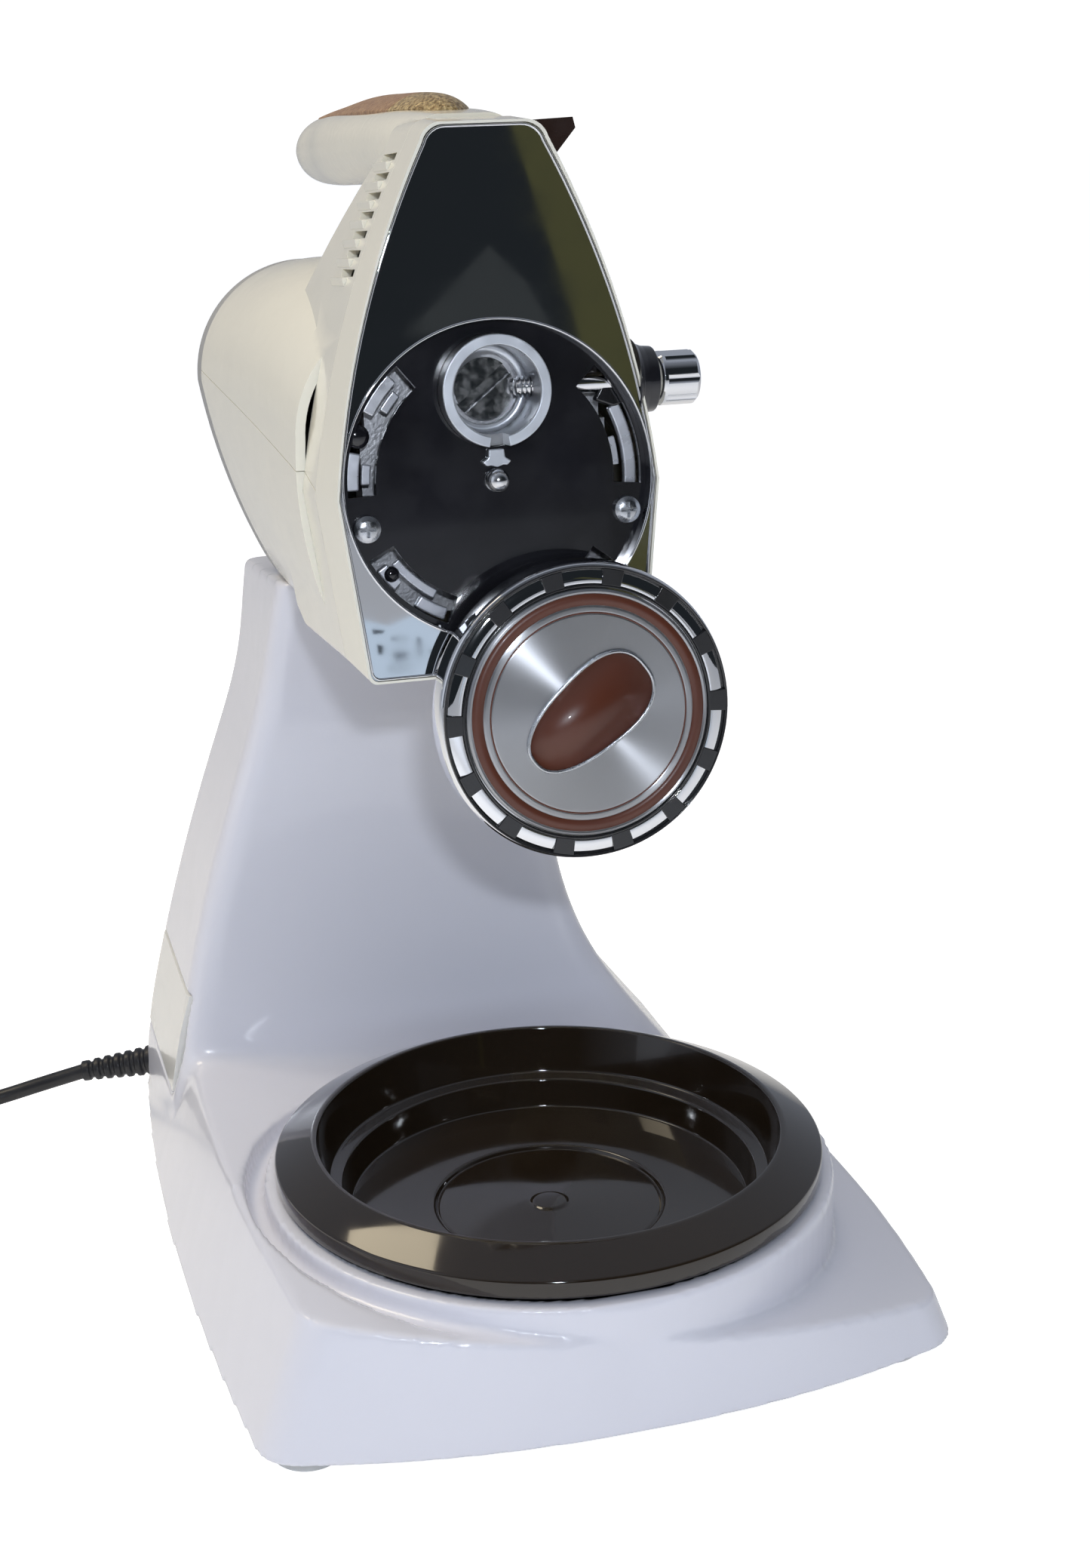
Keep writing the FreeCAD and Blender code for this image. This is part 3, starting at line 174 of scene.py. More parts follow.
def make_plastics():
    # The head's ivory and the stand's blue-white are lit copies of one white plastic. The head's warm ivory
    # is partly the plastic's own tone and partly painted warm light.
    ivory = Finish("ivory", (0.83, 0.80, 0.69), 0.22, coat=0.5)
    ivory.tinted(6.0, (0.815, 0.785, 0.675), 0.2, 0.8).worn(40.0, 0.18, 0.24).grained(700.0, 0.00001)
    # The stand's darker, bluer white is painted cool light: the head's plastic, tinted for the cool light
    # that falls on the stand.
    white = Finish("stand_white_painted_cool_light", (0.76, 0.76, 0.825), 0.24, coat=0.45)
    white.tinted(5.0, (0.75, 0.75, 0.815), 0.2, 0.8).worn(35.0, 0.2, 0.26).grained(650.0, 0.00001)
    cover = Finish("cover_white", (0.80, 0.79, 0.75), 0.26, coat=0.4)
    cover.tinted(8.0, (0.785, 0.775, 0.73), 0.2, 0.8).worn(30.0, 0.22, 0.28).grained(650.0, 0.00001)
    rubber = Finish("foot_rubber", (0.72, 0.72, 0.71), 0.55)
    rubber.tinted(60.0, (0.62, 0.62, 0.61)).grained(900.0, 0.00008)
    grey = Finish("grey_plastic", (0.36, 0.36, 0.36), 0.42)
    grey.tinted(25.0, (0.31, 0.31, 0.315)).grained(1400.0, 0.00006)
    base = Finish("base_plastic", (0.5, 0.5, 0.5), 0.5)
    base.tinted(20.0, (0.42, 0.42, 0.42)).grained(900.0, 0.0001)
    smoke = Finish("smoke_brown", (0.013, 0.0085, 0.0055), 0.08, coat=0.5)
    smoke.tinted(18.0, (0.020, 0.013, 0.007), 0.2, 0.8).worn(60.0, 0.06, 0.11)
    return {
        "ivory_gloss": ivory,
        "white_gloss": white,
        "cover_white": cover,
        "white_rubber": rubber,
        "grey_plastic": grey,
        "base_plastic": base,
        "smoke_brown": smoke,
    }


def make_dark_finishes():
    black = Finish("black_gloss", (0.008, 0.008, 0.010), 0.12, coat=0.5)
    black.tinted(50.0, (0.012, 0.012, 0.015)).worn(80.0, 0.08, 0.2)
    brown = Finish("dark_brown", (0.022, 0.010, 0.007), 0.22, coat=0.3)
    brown.worn(70.0, 0.18, 0.32)
    trim = Finish("trim_black", (0.012, 0.012, 0.013), 0.12, coat=0.5)
    trim.worn(90.0, 0.1, 0.2)
    enamel = Finish("brown_enamel", (0.100, 0.028, 0.014), 0.36, coat=0.1)
    enamel.tinted(60.0, (0.088, 0.024, 0.012))
    carbon = Finish("carbon", (0.03, 0.03, 0.03), 0.6)
    carbon.grained(1500.0, 0.0001)
    phenolic = Finish("phenolic", (0.05, 0.028, 0.018), 0.45)
    phenolic.tinted(90.0, (0.075, 0.042, 0.026)).grained(800.0, 0.00008)
    cord = Finish("cord_black", (0.010, 0.010, 0.012), 0.38)
    cord.tinted(120.0, (0.018, 0.018, 0.02)).grained(1600.0, 0.00008)
    return {
        "black_gloss": black,
        "dark_brown": brown,
        "trim_black": trim,
        "enamel": enamel,
        "carbon": carbon,
        "phenolic": phenolic,
        "cord_black": cord,
    }


def make_pad_finishes():
    """The handle's leathery insert and the pebbled gold button set in it."""
    grain = Finish("brown_grain", (0.24, 0.125, 0.062), 0.40)
    grain.tinted(700.0, (0.42, 0.26, 0.14)).grained(1300.0, 0.0006)
    pebble = Finish("gold_pebble", (0.18, 0.105, 0.032), 0.34, metallic=0.3)
    pebble.tinted(900.0, (0.62, 0.47, 0.24)).grained(1100.0, 0.0010)
    return {"brown_grain": grain, "gold_pebble": pebble}


def make_metals():
    plate = Finish("chrome_plate", (0.86, 0.87, 0.89), 0.03, metallic=1.0)
    plate.worn(90.0, 0.02, 0.05)
    knob = Finish("chrome_knob", (0.84, 0.85, 0.87), 0.05, metallic=1.0)
    knob.worn(120.0, 0.03, 0.09)
    socket = Finish("socket_metal", (0.56, 0.57, 0.59), 0.3, metallic=1.0)
    socket.worn(200.0, 0.27, 0.34)
    # A lighter, bluer copy of the socket metal, for the key, the mouth's lip and the inner step: painted
    # highlight.
    lip = Finish("socket_lip_painted_highlight", (0.80, 0.84, 0.90), 0.36, metallic=0.85)
    lip.worn(200.0, 0.33, 0.42)
    die_cast = Finish("die_cast", (0.62, 0.63, 0.65), 0.42, metallic=0.9)
    die_cast.tinted(140.0, (0.50, 0.51, 0.54)).grained(1100.0, 0.0001)
    # A metal lighter and bluer than the case metal: painted highlight for the case parts seen through the
    # disc's windows.
    casting_painted_highlight = Finish("casting_painted_highlight", (0.78, 0.80, 0.86), 0.3, metallic=0.7)
    casting_painted_highlight.tinted(160.0, (0.66, 0.68, 0.72)).worn(200.0, 0.24, 0.36)
    zinc = Finish("zinc_steel", (0.62, 0.64, 0.68), 0.24, metallic=1.0)
    zinc.tinted(300.0, (0.54, 0.56, 0.58)).worn(400.0, 0.18, 0.34)
    bright = Finish("bright_steel", (0.74, 0.75, 0.77), 0.12, metallic=1.0)
    bright.worn(500.0, 0.08, 0.2)
    lamination = Finish("lamination", (0.22, 0.22, 0.23), 0.45, metallic=1.0)
    lamination.grained(260.0, 0.0002, stretch=(0.2, 12, 0.2))
    copper = Finish("copper", (0.55, 0.22, 0.10), 0.3, metallic=1.0)
    copper.grained(300.0, 0.0002, stretch=(8, 1, 8))
    bronze = Finish("bronze", (0.50, 0.31, 0.11), 0.32, metallic=1.0)
    bronze.tinted(200.0, (0.42, 0.25, 0.09)).worn(300.0, 0.26, 0.42)
    return {
        "chrome_plate": plate,
        "chrome_knob": knob,
        "socket_metal": socket,
        "socket_lip_painted_highlight": lip,
        "die_cast": die_cast,
        "casting_painted_highlight": casting_painted_highlight,
        "zinc_steel": zinc,
        "bright_steel": bright,
        "lamination": lamination,
        "copper": copper,
        "bronze": bronze,
        "badge_metal": spun_metal(),
    }


def spun_metal():
    """Metal brushed in circles, whose highlight spreads into two opposite wedges."""
    badge = Finish("badge_metal", (0.50, 0.51, 0.53), 0.33, metallic=1.0)
    badge.shader.inputs["Anisotropic"].default_value = 0.96
    badge.shader.inputs["Anisotropic Rotation"].default_value = 0.25
    tangent = badge.node("ShaderNodeTangent", direction_type="RADIAL", axis="Z")
    badge.link(tangent.outputs["Tangent"], badge.shader.inputs["Tangent"])
    return badge


def make_materials():
    """Every slot's material, and the three that only new pieces use: the socket lip's metal and the case
    parts' metal, lighter and bluer copies of the socket and case metals that carry painted highlights, and
    enamel.
    """
    finishes = make_plastics() | make_dark_finishes() | make_pad_finishes() | make_metals()
    return {slot: finish.material for slot, finish in finishes.items()}


def dress_nodes(made):
    """Every CAD node takes the finish of its slot."""
    for part in frame["record"]["subparts"]:
        mesh = NODES[part["node"]].data
        mesh.materials.clear()
        mesh.materials.append(made[part["material_slot"]])


# ---------------------------------------------------------------- shape helpers
SLOT_OF = {part["node"]: part["material_slot"] for part in frame["record"]["subparts"]}
BODY_OF = {
    node: body for body, nodes in frame["record"]["behaviour"]["bodies"].items() for node in nodes
}


def add_piece(name, mesh, slot, body, place=UPRIGHT, material=None):
    """A new visible piece: it rides on a CAD body and takes a slot's finish."""
    mesh.materials.clear()
    mesh.materials.append(material or materials[slot])
    piece = bpy.data.objects.new(name, mesh)
    piece.matrix_world = place
    bpy.context.scene.collection.objects.link(piece)
    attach(piece, body)
    return piece


def make_mesh(name, points, faces):
    """A smooth-shaded mesh from points in millimetres."""
    mesh = bpy.data.meshes.new(name)
    mesh.from_pydata([Vector(point) * MM for point in points], [], faces)
    mesh.validate()
    work = bmesh.new()
    work.from_mesh(mesh)
    bmesh.ops.recalc_face_normals(work, faces=work.faces)
    work.to_mesh(mesh)
    work.free()
    mesh.shade_smooth()
    return mesh


def through(start, middle, end, count):
    """Points on the arc through three points of a plane, the last one left out."""
    (ax, ay), (bx, by), (cx, cy) = start, middle, end
    area = 2 * (ax * (by - cy) + bx * (cy - ay) + cx * (ay - by))
    a2, b2, c2 = ax * ax + ay * ay, bx * bx + by * by, cx * cx + cy * cy
    centre_x = (a2 * (by - cy) + b2 * (cy - ay) + c2 * (ay - by)) / area
    centre_y = (a2 * (cx - bx) + b2 * (ax - cx) + c2 * (bx - ax)) / area
    radius = math.hypot(ax - centre_x, ay - centre_y)
    first = math.atan2(ay - centre_y, ax - centre_x)
    half = (math.atan2(by - centre_y, bx - centre_x) - first) % (2 * math.pi)
    turn = (math.atan2(cy - centre_y, cx - centre_x) - first) % (2 * math.pi)
    if half > turn:
        turn -= 2 * math.pi
    angles = [first + turn * step / count for step in range(count)]
    return [(centre_x + radius * math.cos(angle), centre_y + radius * math.sin(angle)) for angle in angles]


CORNER_STEPS = 4


def rounded(corners, radius, closed=False):
    """A profile with each of its corners turned into a small curve."""
    made = []
    last = len(corners) - 1
    for index, corner in enumerate(corners):
        if not closed and index in (0, last):
            made.append(corner)
            continue
        here = Vector(corner)
        before = Vector(corners[index - 1]) - here
        after = Vector(corners[(index + 1) % len(corners)]) - here
        cut = min(radius, 0.45 * before.length, 0.45 * after.length)
        start, stop = here + before.normalized() * cut, here + after.normalized() * cut
        for step in range(CORNER_STEPS + 1):
            along = step / CORNER_STEPS
            point = start.lerp(here, along).lerp(here.lerp(stop, along), along)
            made.append((point.x, point.y))
    return made


ON_AXIS = 1e-4


def lathe(name, profile, slot, body, place, closed=False, steps=144, material=None):
    """A turned piece about its place's Z, from (radius, height) points."""
    points, rings = [], []
    for radius, height in profile:
        if radius < ON_AXIS:
            rings.append([len(points)])
            points.append((0.0, 0.0, height))
            continue
        rings.append([len(points) + step for step in range(steps)])
        for step in range(steps):
            angle = 2 * math.pi * step / steps
            points.append((radius * math.cos(angle), radius * math.sin(angle), height))
    pairs = list(zip(rings, rings[1:]))
    if closed:
        pairs.append((rings[-1], rings[0]))
    faces = []
    for low, high in pairs:
        for step in range(steps):
            ahead = (step + 1) % steps
            if len(low) == 1 and len(high) == 1:
                break
            if len(low) == 1:
                faces.append((low[0], high[ahead], high[step]))
            elif len(high) == 1:
                faces.append((low[step], low[ahead], high[0]))
            else:
                faces.append((low[step], low[ahead], high[ahead], high[step]))
    return add_piece(name, make_mesh(name, points, faces), slot, body, place, material)


def prism(name, outline, low, high, slot, body, place, material=None, soft=0.0):
    """A plate from an outline in its place's XY plane, between two heights."""
    count = len(outline)
    points = [(x, y, low) for x, y in outline] + [(x, y, high) for x, y in outline]
    faces = [tuple(range(count)), tuple(range(count, 2 * count))]
    for index in range(count):
        ahead = (index + 1) % count
        faces.append((index, ahead, count + ahead, count + index))
    piece = add_piece(name, make_mesh(name, points, faces), slot, body, place, material)
    if soft:
        round_edges(piece, soft)
    return piece


def arc_plates(name, inner, outer, spans, low, high, slot, body, place, material=None, soft=0.2):
    """Curved plates between two radii, one for each (start, stop) angle in degrees."""
    points, faces = [], []
    for start, stop in spans:
        steps = max(6, round((stop - start) / 3.0))
        base = len(points)
        for level in (low, high):
            for radius in (inner, outer):
                for step in range(steps + 1):
                    angle = math.radians(start + (stop - start) * step / steps)
                    points.append((radius * math.cos(angle), radius * math.sin(angle), level))
        row = steps + 1
        for step in range(steps):
            a, b = base + step, base + step + 1
            faces.append((a, b, b + row, a + row))
            faces.append((a + 2 * row, b + 2 * row, b + 3 * row, a + 3 * row))
            faces.append((a, b, b + 2 * row, a + 2 * row))
            faces.append((a + row, b + row, b + 3 * row, a + 3 * row))
        for step in (0, steps):
            a = base + step
            faces.append((a, a + row, a + 3 * row, a + 2 * row))
    piece = add_piece(name, make_mesh(name, points, faces), slot, body, place, material)
    round_edges(piece, soft)


def sweep(name, path, radius, slot, body, place):
    """A round bead along a closed path of points in millimetres."""
    curve = bpy.data.curves.new(name, "CURVE")
    curve.dimensions = "3D"
    curve.bevel_depth = radius * MM
    curve.bevel_resolution = 3
    spline = curve.splines.new("POLY")
    spline.points.add(len(path) - 1)
    for point, where in zip(spline.points, path):
        point.co = (*(Vector(where) * MM), 1.0)
    spline.use_cyclic_u = True
    shown = bpy.data.objects.new(name + "_path", curve)
    mesh = bpy.data.meshes.new_from_object(shown)
    bpy.data.objects.remove(shown)
    mesh.name = name
    mesh.shade_smooth()
    return add_piece(name, mesh, slot, body, place)


SEAM_GAP = 0.004


def plain_copy(node):
    """A fresh mesh with a CAD node's points and faces, seams between its faces closed."""
    source = NODES[node].data
    mesh = bpy.data.meshes.new(node + "_shape")
    corners = [vertex.co.copy() for vertex in source.vertices]
    mesh.from_pydata(corners, [], [tuple(face.vertices) for face in source.polygons])
    work = bmesh.new()
    work.from_mesh(mesh)
    bmesh.ops.remove_doubles(work, verts=work.verts, dist=SEAM_GAP * MM)
    work.to_mesh(mesh)
    work.free()
    return mesh


SHARP_EDGE = math.radians(32.0)
FLAT_JOIN = math.radians(0.5)


def round_edges(piece, width):
    bevel = piece.modifiers.new("edges", "BEVEL")
    bevel.width = width * MM
    bevel.segments = 3
    bevel.limit_method = "ANGLE"
    bevel.angle_limit = SHARP_EDGE
    bevel.miter_outer = "MITER_ARC"
    bevel.harden_normals = True


def freeze(piece):
    """Turns a piece's modifiers into its mesh."""
    graph = bpy.context.evaluated_depsgraph_get()
    graph.update()
    mesh = bpy.data.meshes.new_from_object(piece.evaluated_get(graph), depsgraph=graph)
    piece.modifiers.clear()
    piece.data = mesh


def softened(node, width):
    """Stands for a CAD node: the same shape, its edges rounded."""
    mesh = plain_copy(node)
    work = bmesh.new()
    work.from_mesh(mesh)
    bmesh.ops.dissolve_limit(
        work, angle_limit=FLAT_JOIN, verts=work.verts, edges=work.edges, use_dissolve_boundaries=False
    )
    work.to_mesh(mesh)
    work.free()
    mesh.shade_smooth()
    piece = add_piece(node + "_shell", mesh, SLOT_OF[node], BODY_OF[node])
    round_edges(piece, width)
    freeze(piece)
    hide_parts(node)
    return piece


def melted(node, voxel, rounds):
    """Stands for a CAD node: the same shape in an even skin, its edges and inner corners soft."""
    mesh = plain_copy(node)
    piece = add_piece(node + "_skin", mesh, SLOT_OF[node], BODY_OF[node])
    skin = piece.modifiers.new("skin", "REMESH")
    skin.mode = "VOXEL"
    skin.voxel_size = voxel * MM
    skin.use_smooth_shade = True
    even = piece.modifiers.new("even", "SMOOTH")
    even.factor = 0.5
    even.iterations = rounds
    freeze(piece)
    piece.data.shade_smooth()
    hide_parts(node)
    return piece


def relax(piece, weight_at, rounds):
    """Smooths a piece where weight_at(point in mm) is above 0."""
    group = piece.vertex_groups.new(name="relax")
    for vertex in piece.data.vertices:
        weight = weight_at(vertex.co / MM)
        if weight > 0.02:
            group.add([vertex.index], min(weight, 1.0), "REPLACE")
    even = piece.modifiers.new("relax", "SMOOTH")
    even.factor = 0.9
    even.iterations = rounds
    even.vertex_group = "relax"
    freeze(piece)
    piece.data.shade_smooth()


# ---------------------------------------------------------------- stand
TRAY_HEIGHT, TRAY_SLOPE = 33.3, 0.137
COLUMN_FOOT = (-91.0, 58.0, 92.0, 164.0)
FOOT_REACH = 9.0
OUTER_EDGE, EDGE_END = 80.0, 20.0


def near_column_foot(point):
    """How near a point is to the line where the column meets the base's sloping top, 1 on it."""
    left, right, front, back = COLUMN_FOOT
    rise = point.z - (TRAY_HEIGHT - TRAY_SLOPE * point.x)
    beside = max(left - point.x, point.x - right, front - point.y, point.y - back)
    if point.y < front - EDGE_END and abs(point.x) > OUTER_EDGE:
        return 0.0
    return math.exp(-((rise / FOOT_REACH) ** 2) - (beside / FOOT_REACH) ** 2)


def make_stand():
    stand = melted("stand_shell", voxel=1.1, rounds=4)
    relax(stand, near_column_foot, rounds=60)
    softened("rear_cover", 0.45)
    softened("base_plate", 0.4)
    softened("feet", 1.0)


def make_turntable():
    """The dish: its bore's hub, stepped floor, wall, and the sloping flange round its mouth."""
    profile = [
        (0, 31.6), (4.6, 31.6), (5.4, 31.0), (31.0, 31.0), (31.7, 30.6), (32.4, 31.9), (56.0, 32.6),
        (57.6, 41.0), (61.4, 41.8), (64.3, 55.3), (65.6, 55.3), (76.0, 50.2), (76.0, 45.3), (73.6, 45.3),
        (73.6, 48.3), (67.0, 51.3), (64.4, 39.2), (60.2, 38.6), (58.6, 28.4), (8.0, 28.4), (8.0, 22.3),
        (4.06, 22.3), (4.06, 29.4), (0, 29.4),
    ]
    dish = lathe("turntable_dish", rounded(profile, 0.7), "smoke_brown", "turntable", UPRIGHT, steps=192)
    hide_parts("turntable")


# ---------------------------------------------------------------- head
def spade(grow):
    """The face plate's outline in the head's frame, as (across, up) points."""
    shoulder, top, foot = 40.0 + grow, 84.0 + grow, -46.6 - grow
    right = through((9.5 + grow, top), (13.0 + grow, top - 1.1), (15.0 + grow, top - 4.0), 6)
    right += through((15.0 + grow, top - 4.0), (29.2 + grow, 47.0), (shoulder, -2.0), 24)
    right += [(shoulder, -2.0)]
    right += through((35.0 + grow, foot + 2.1), (34.3 + grow, foot + 0.6), (32.8 + grow, foot), 5)
    right += [(32.8 + grow, foot)]
    return right + [(-across, up) for across, up in reversed(right)]


LOUVRES, LOUVRE_LOW, LOUVRE_PITCH = 7, 50.0, 4.5
LOUVRE_LENGTH, LOUVRE_SUNK = 15.0, 0.8
# the rays that find the skin start this far out, in millimetres, and run this far in, in metres
OUTSIDE, REACH = 90.0, 0.085


def blade_corners(number):
    """A blade's corners as (back, up, how far it stands out): it leans out along its upper edge."""
    slot = LOUVRE_LOW + LOUVRE_PITCH * number
    near = 19.5 + 0.6 * (LOUVRES - number)
    far = near + LOUVRE_LENGTH
    low, high = slot - 2.3, slot - 0.2
    return ((near, low, 0.1), (far, low, 0.1), (far - 1.0, high, 1.5), (near - 1.0, high, 1.5))


def make_louvres():
    """The blades under the cooling slots, laid on the housing's own skin."""
    housing = NODES["head_housing_upper"].data
    outline = [tuple(face.vertices) for face in housing.polygons]
    skin = BVHTree.FromPolygons([vertex.co for vertex in housing.vertices], outline)
    for side, label in ((-1, "left"), (1, "right")):
        inward = HEAD.to_3x3() @ Vector((-side, 0, 0))
        points, faces = [], []
        for number in range(LOUVRES):
            corners = blade_corners(number)
            starts = [in_head(OUTSIDE * side, back, up).translation for back, up, _ in corners]
            hits = [skin.ray_cast(start, inward, REACH)[0] for start in starts]
            if None in hits:
                continue
            base = len(points)
            points += [hit / MM + inward * LOUVRE_SUNK for hit in hits]
            points += [hit / MM - inward * proud for hit, (_, _, proud) in zip(hits, corners)]
            faces += [(base, base + 1, base + 2, base + 3), (base + 4, base + 5, base + 6, base + 7)]
            for corner in range(4):
                ahead = (corner + 1) % 4
                faces.append((base + corner, base + ahead, base + 4 + ahead, base + 4 + corner))
        mesh = make_mesh(f"louvres_{label}", points, faces)
        round_edges(add_piece(f"louvres_{label}", mesh, "ivory_gloss", "head"), 0.3)


HEAD_EDGES = {
    "head_housing_upper": 0.5,
    "head_housing_lower": 0.5,
    "front_frame": 0.35,
    "rear_cap": 0.5,
    "speed_dial": 0.5,
    "beater_release_lever": 1.5,
}
PAD_EDGES = {"handle_insert": 0.6, "burst_button": 0.6}
DRIVE_EDGES = {"hub_disc": 0.25, "hub_socket": 0.3, "hub_thumbscrew": 0.35, "hub_screws": 0.15}
KNOB_UP, KNOB_BACK = 21.8, 8.0


def soften_all(edges):
    for node, width in edges.items():
        softened(node, width)


def make_plate_trim():
    """The plate's bright rim, and the rolled bead round its opening."""
    rim = [(across, -0.25, up) for across, up in spade(-0.35)]
    sweep("plate_rim", rim, 0.3, "chrome_plate", "head", HEAD)
    bead = [(38.6, 0.0), (38.65, 0.3), (38.95, 0.5), (39.25, 0.3), (39.3, 0.0)]
    lathe("opening_bead", bead, "chrome_plate", "head", in_head(0, 0.05, 0, FACING), closed=True)


def make_collar():
    """The dark collar that the thumbscrew comes out of."""
    collar = [(7.35, 0.0), (10.4, 0.0), (9.0, 1.2), (8.3, 3.0), (8.1, 5.4), (7.9, 5.7), (7.35, 5.7)]
    place = in_head(36.5, KNOB_BACK, KNOB_UP, RIGHTWARD)
    lathe("plate_boss", rounded(collar, 0.3, closed=True), "black_gloss", "head", place, closed=True)


def make_head():
    soften_all(HEAD_EDGES)
    make_louvres()
    make_plate_trim()
    make_collar()
    soften_all(PAD_EDGES)


# ---------------------------------------------------------------- front drive
SOCKET_MOUTH = in_head(0, 0, KNOB_UP, FACING)
DRIVE_REST = math.radians(-52.0)


def turn_spindle():
    """The slotted drive, standing at the angle where it came to rest."""
    spindle = softened("hub_spindle", 0.3)
    spindle.data.transform(SOCKET_MOUTH @ Matrix.Rotation(DRIVE_REST, 4, "Z") @ SOCKET_MOUTH.inverted())


def make_socket_trim():
    """The key below the socket, the lip round its mouth and the step inside it, in a lighter, bluer copy of
    the socket metal: a painted highlight.
    """
    painted_highlight_metal = materials["socket_lip_painted_highlight"]
    tab = [(-1.9, 7.6), (1.9, 7.6), (2.1, 5.6), (3.6, 4.6), (2.6, 3.6), (1.5, 3.7), (0.0, 3.2),
           (-1.5, 3.7), (-2.6, 3.6), (-3.6, 4.6), (-2.1, 5.6)]
    face = in_head(0, 0, 0, FACING)
    prism("socket_tab", tab, -3.4, -1.9, "socket_metal", "head", face, painted_highlight_metal, soft=0.3)
    lip = [(-79.0, 259.0)]
    arc_plates("socket_lip_painted_highlight", 11.1, 13.5, lip, 1.5, 1.95, "socket_metal", "head", SOCKET_MOUTH, painted_highlight_metal)
    step = [(8.9, -11.0), (10.8, -11.0), (10.8, -10.7), (8.9, -10.7)]
    lathe("socket_step", step, "socket_metal", "head", SOCKET_MOUTH, closed=True, material=painted_highlight_metal)


def make_screw_tip():
    """The thumbscrew's threaded tip, standing into the socket."""
    core, crest, pitch, threads = 2.1, 2.75, 1.15, 5
    tip = [(0, 0), (1.6, 0), (core, 0.5)]
    for number in range(threads):
        start = 0.8 + pitch * number
        tip += [(core, start), (crest, start + 0.32), (crest, start + 0.55), (core, start + 0.85)]
    tip += [(core, 6.6), (0, 6.6)]
    place = in_head(6.6, KNOB_BACK, KNOB_UP, RIGHTWARD)
    lathe("thumbscrew_tip", tip, "chrome_knob", "thumbscrew", place, steps=48)


def make_drive():
    soften_all(DRIVE_EDGES)
    turn_spindle()
    make_socket_trim()
    make_screw_tip()


def make_castings():
    """Bright and dark parts of the gear case that show through the dark disc's windows; the bright bands
    and ledges take a lighter, bluer copy of the case metal, a painted highlight.
    """
    case = in_head(0, 8.5, 0, FACING)
    # The bands and ledges take the lighter metal, a painted highlight.
    metal = materials["casting_painted_highlight"]
    bands = [(-6.0, 27.0), (133.0, 150.0), (166.0, 181.0), (214.0, 224.0), (234.0, 247.0), (300.0, 318.0)]
    arc_plates("case_bands", 33.8, 36.9, bands, 0.0, 2.2, "zinc_steel", "head", case, metal, soft=0.5)
    ledges = [(2.0, 15.0), (136.0, 146.0), (170.0, 179.0), (216.0, 240.0), (304.0, 314.0)]
    arc_plates("case_ledges", 30.6, 33.0, ledges, 0.0, 0.9, "zinc_steel", "head", case, metal, soft=0.5)
    wing = [(26.5, 17.5), (31.5, 15.6), (34.6, 16.4), (31.6, 21.6), (30.0, 23.4)]
    prism("case_wing", wing, 0.0, 2.6, "black_gloss", "head", case, soft=0.7)
    spots = ((-33.4, 12.5, 2.9), (-33.9, 17.2, 1.7), (-27.0, -21.6, 2.0))
    for number, (across, up, radius) in enumerate(spots):
        knob = [(0, 1.6), (radius * 0.6, 1.5), (radius, 0.6), (radius, -1.0), (0, -1.0)]
        place = in_head(across, 7.0, up, FACING)
        lathe(f"case_knob_{number}", knob, "black_gloss", "head", place, steps=48)


# the swung-aside cover: its middle, and how far its face and its cup stand before the plate
COVER_ACROSS, COVER_UP = 16.6, -57.3
COVER_FRONT, CUP_FRONT = -10.5, -2.0
PIVOT_ACROSS, PIVOT_UP = -1.6, -31.5
TRIM_WINDOWS, HALF_BRIDGE = 14, 4.4
EMBLEM_LEAN = math.radians(37.0)
EMBLEM_LENGTH, EMBLEM_WIDTH, EMBLEM_TAPER, EMBLEM_FULLNESS = 17.6, 9.4, 0.08, 2.5
COVER_FACE = in_head(COVER_ACROSS, COVER_FRONT, COVER_UP, FACING)


def make_cup():
    """The cover's cup, open to the back, and the eye that it swings on."""
    profile = [
        (0, 7.0), (36.0, 7.0), (36.0, 0.0), (37.4, 0.0), (37.4, 7.2), (36.9, 8.2), (36.2, 8.5), (0, 8.5),
    ]
    place = in_head(COVER_ACROSS, CUP_FRONT, COVER_UP, FACING)
    cup = lathe("cover_cup", rounded(profile, 0.4), "chrome_plate", "cover", place)
    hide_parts("hub_cover")
    pivot = [(2.56, 0.0), (5.0, 0.0), (5.0, 7.4), (2.56, 7.4)]
    place = in_head(PIVOT_ACROSS, CUP_FRONT, PIVOT_UP, FACING)
    lathe("cover_pivot", rounded(pivot, 0.3, closed=True), "chrome_plate", "cover", place, closed=True)


def make_trim():
    """The dark ring round the badge, with a bright floor behind its windows."""
    profile = [
        (31.3, 0.0), (36.6, 0.0), (36.6, 1.2), (36.35, 1.45), (36.0, 1.2), (36.0, 0.25), (32.0, 0.25),
        (32.0, 1.35), (31.65, 1.5), (31.3, 1.3),
    ]
    section = rounded(profile, 0.12, closed=True)
    ring = lathe("trim_ring", section, "trim_black", "cover", COVER_FACE, closed=True)
    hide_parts("cover_trim")
    floor = [(32.05, 0.3), (32.05, 1.0), (33.2, 1.05), (34.3, 0.9), (35.3, 0.6), (35.95, 0.3)]
    lathe("trim_floor", rounded(floor, 0.6, closed=True), "chrome_plate", "cover", COVER_FACE, closed=True)
    middles = [number * 360.0 / TRIM_WINDOWS for number in range(TRIM_WINDOWS)]
    bridges = [(middle - HALF_BRIDGE, middle + HALF_BRIDGE) for middle in middles]
    arc_plates("trim_bridges", 31.9, 36.1, bridges, 0.3, 1.35, "trim_black", "cover", COVER_FACE)


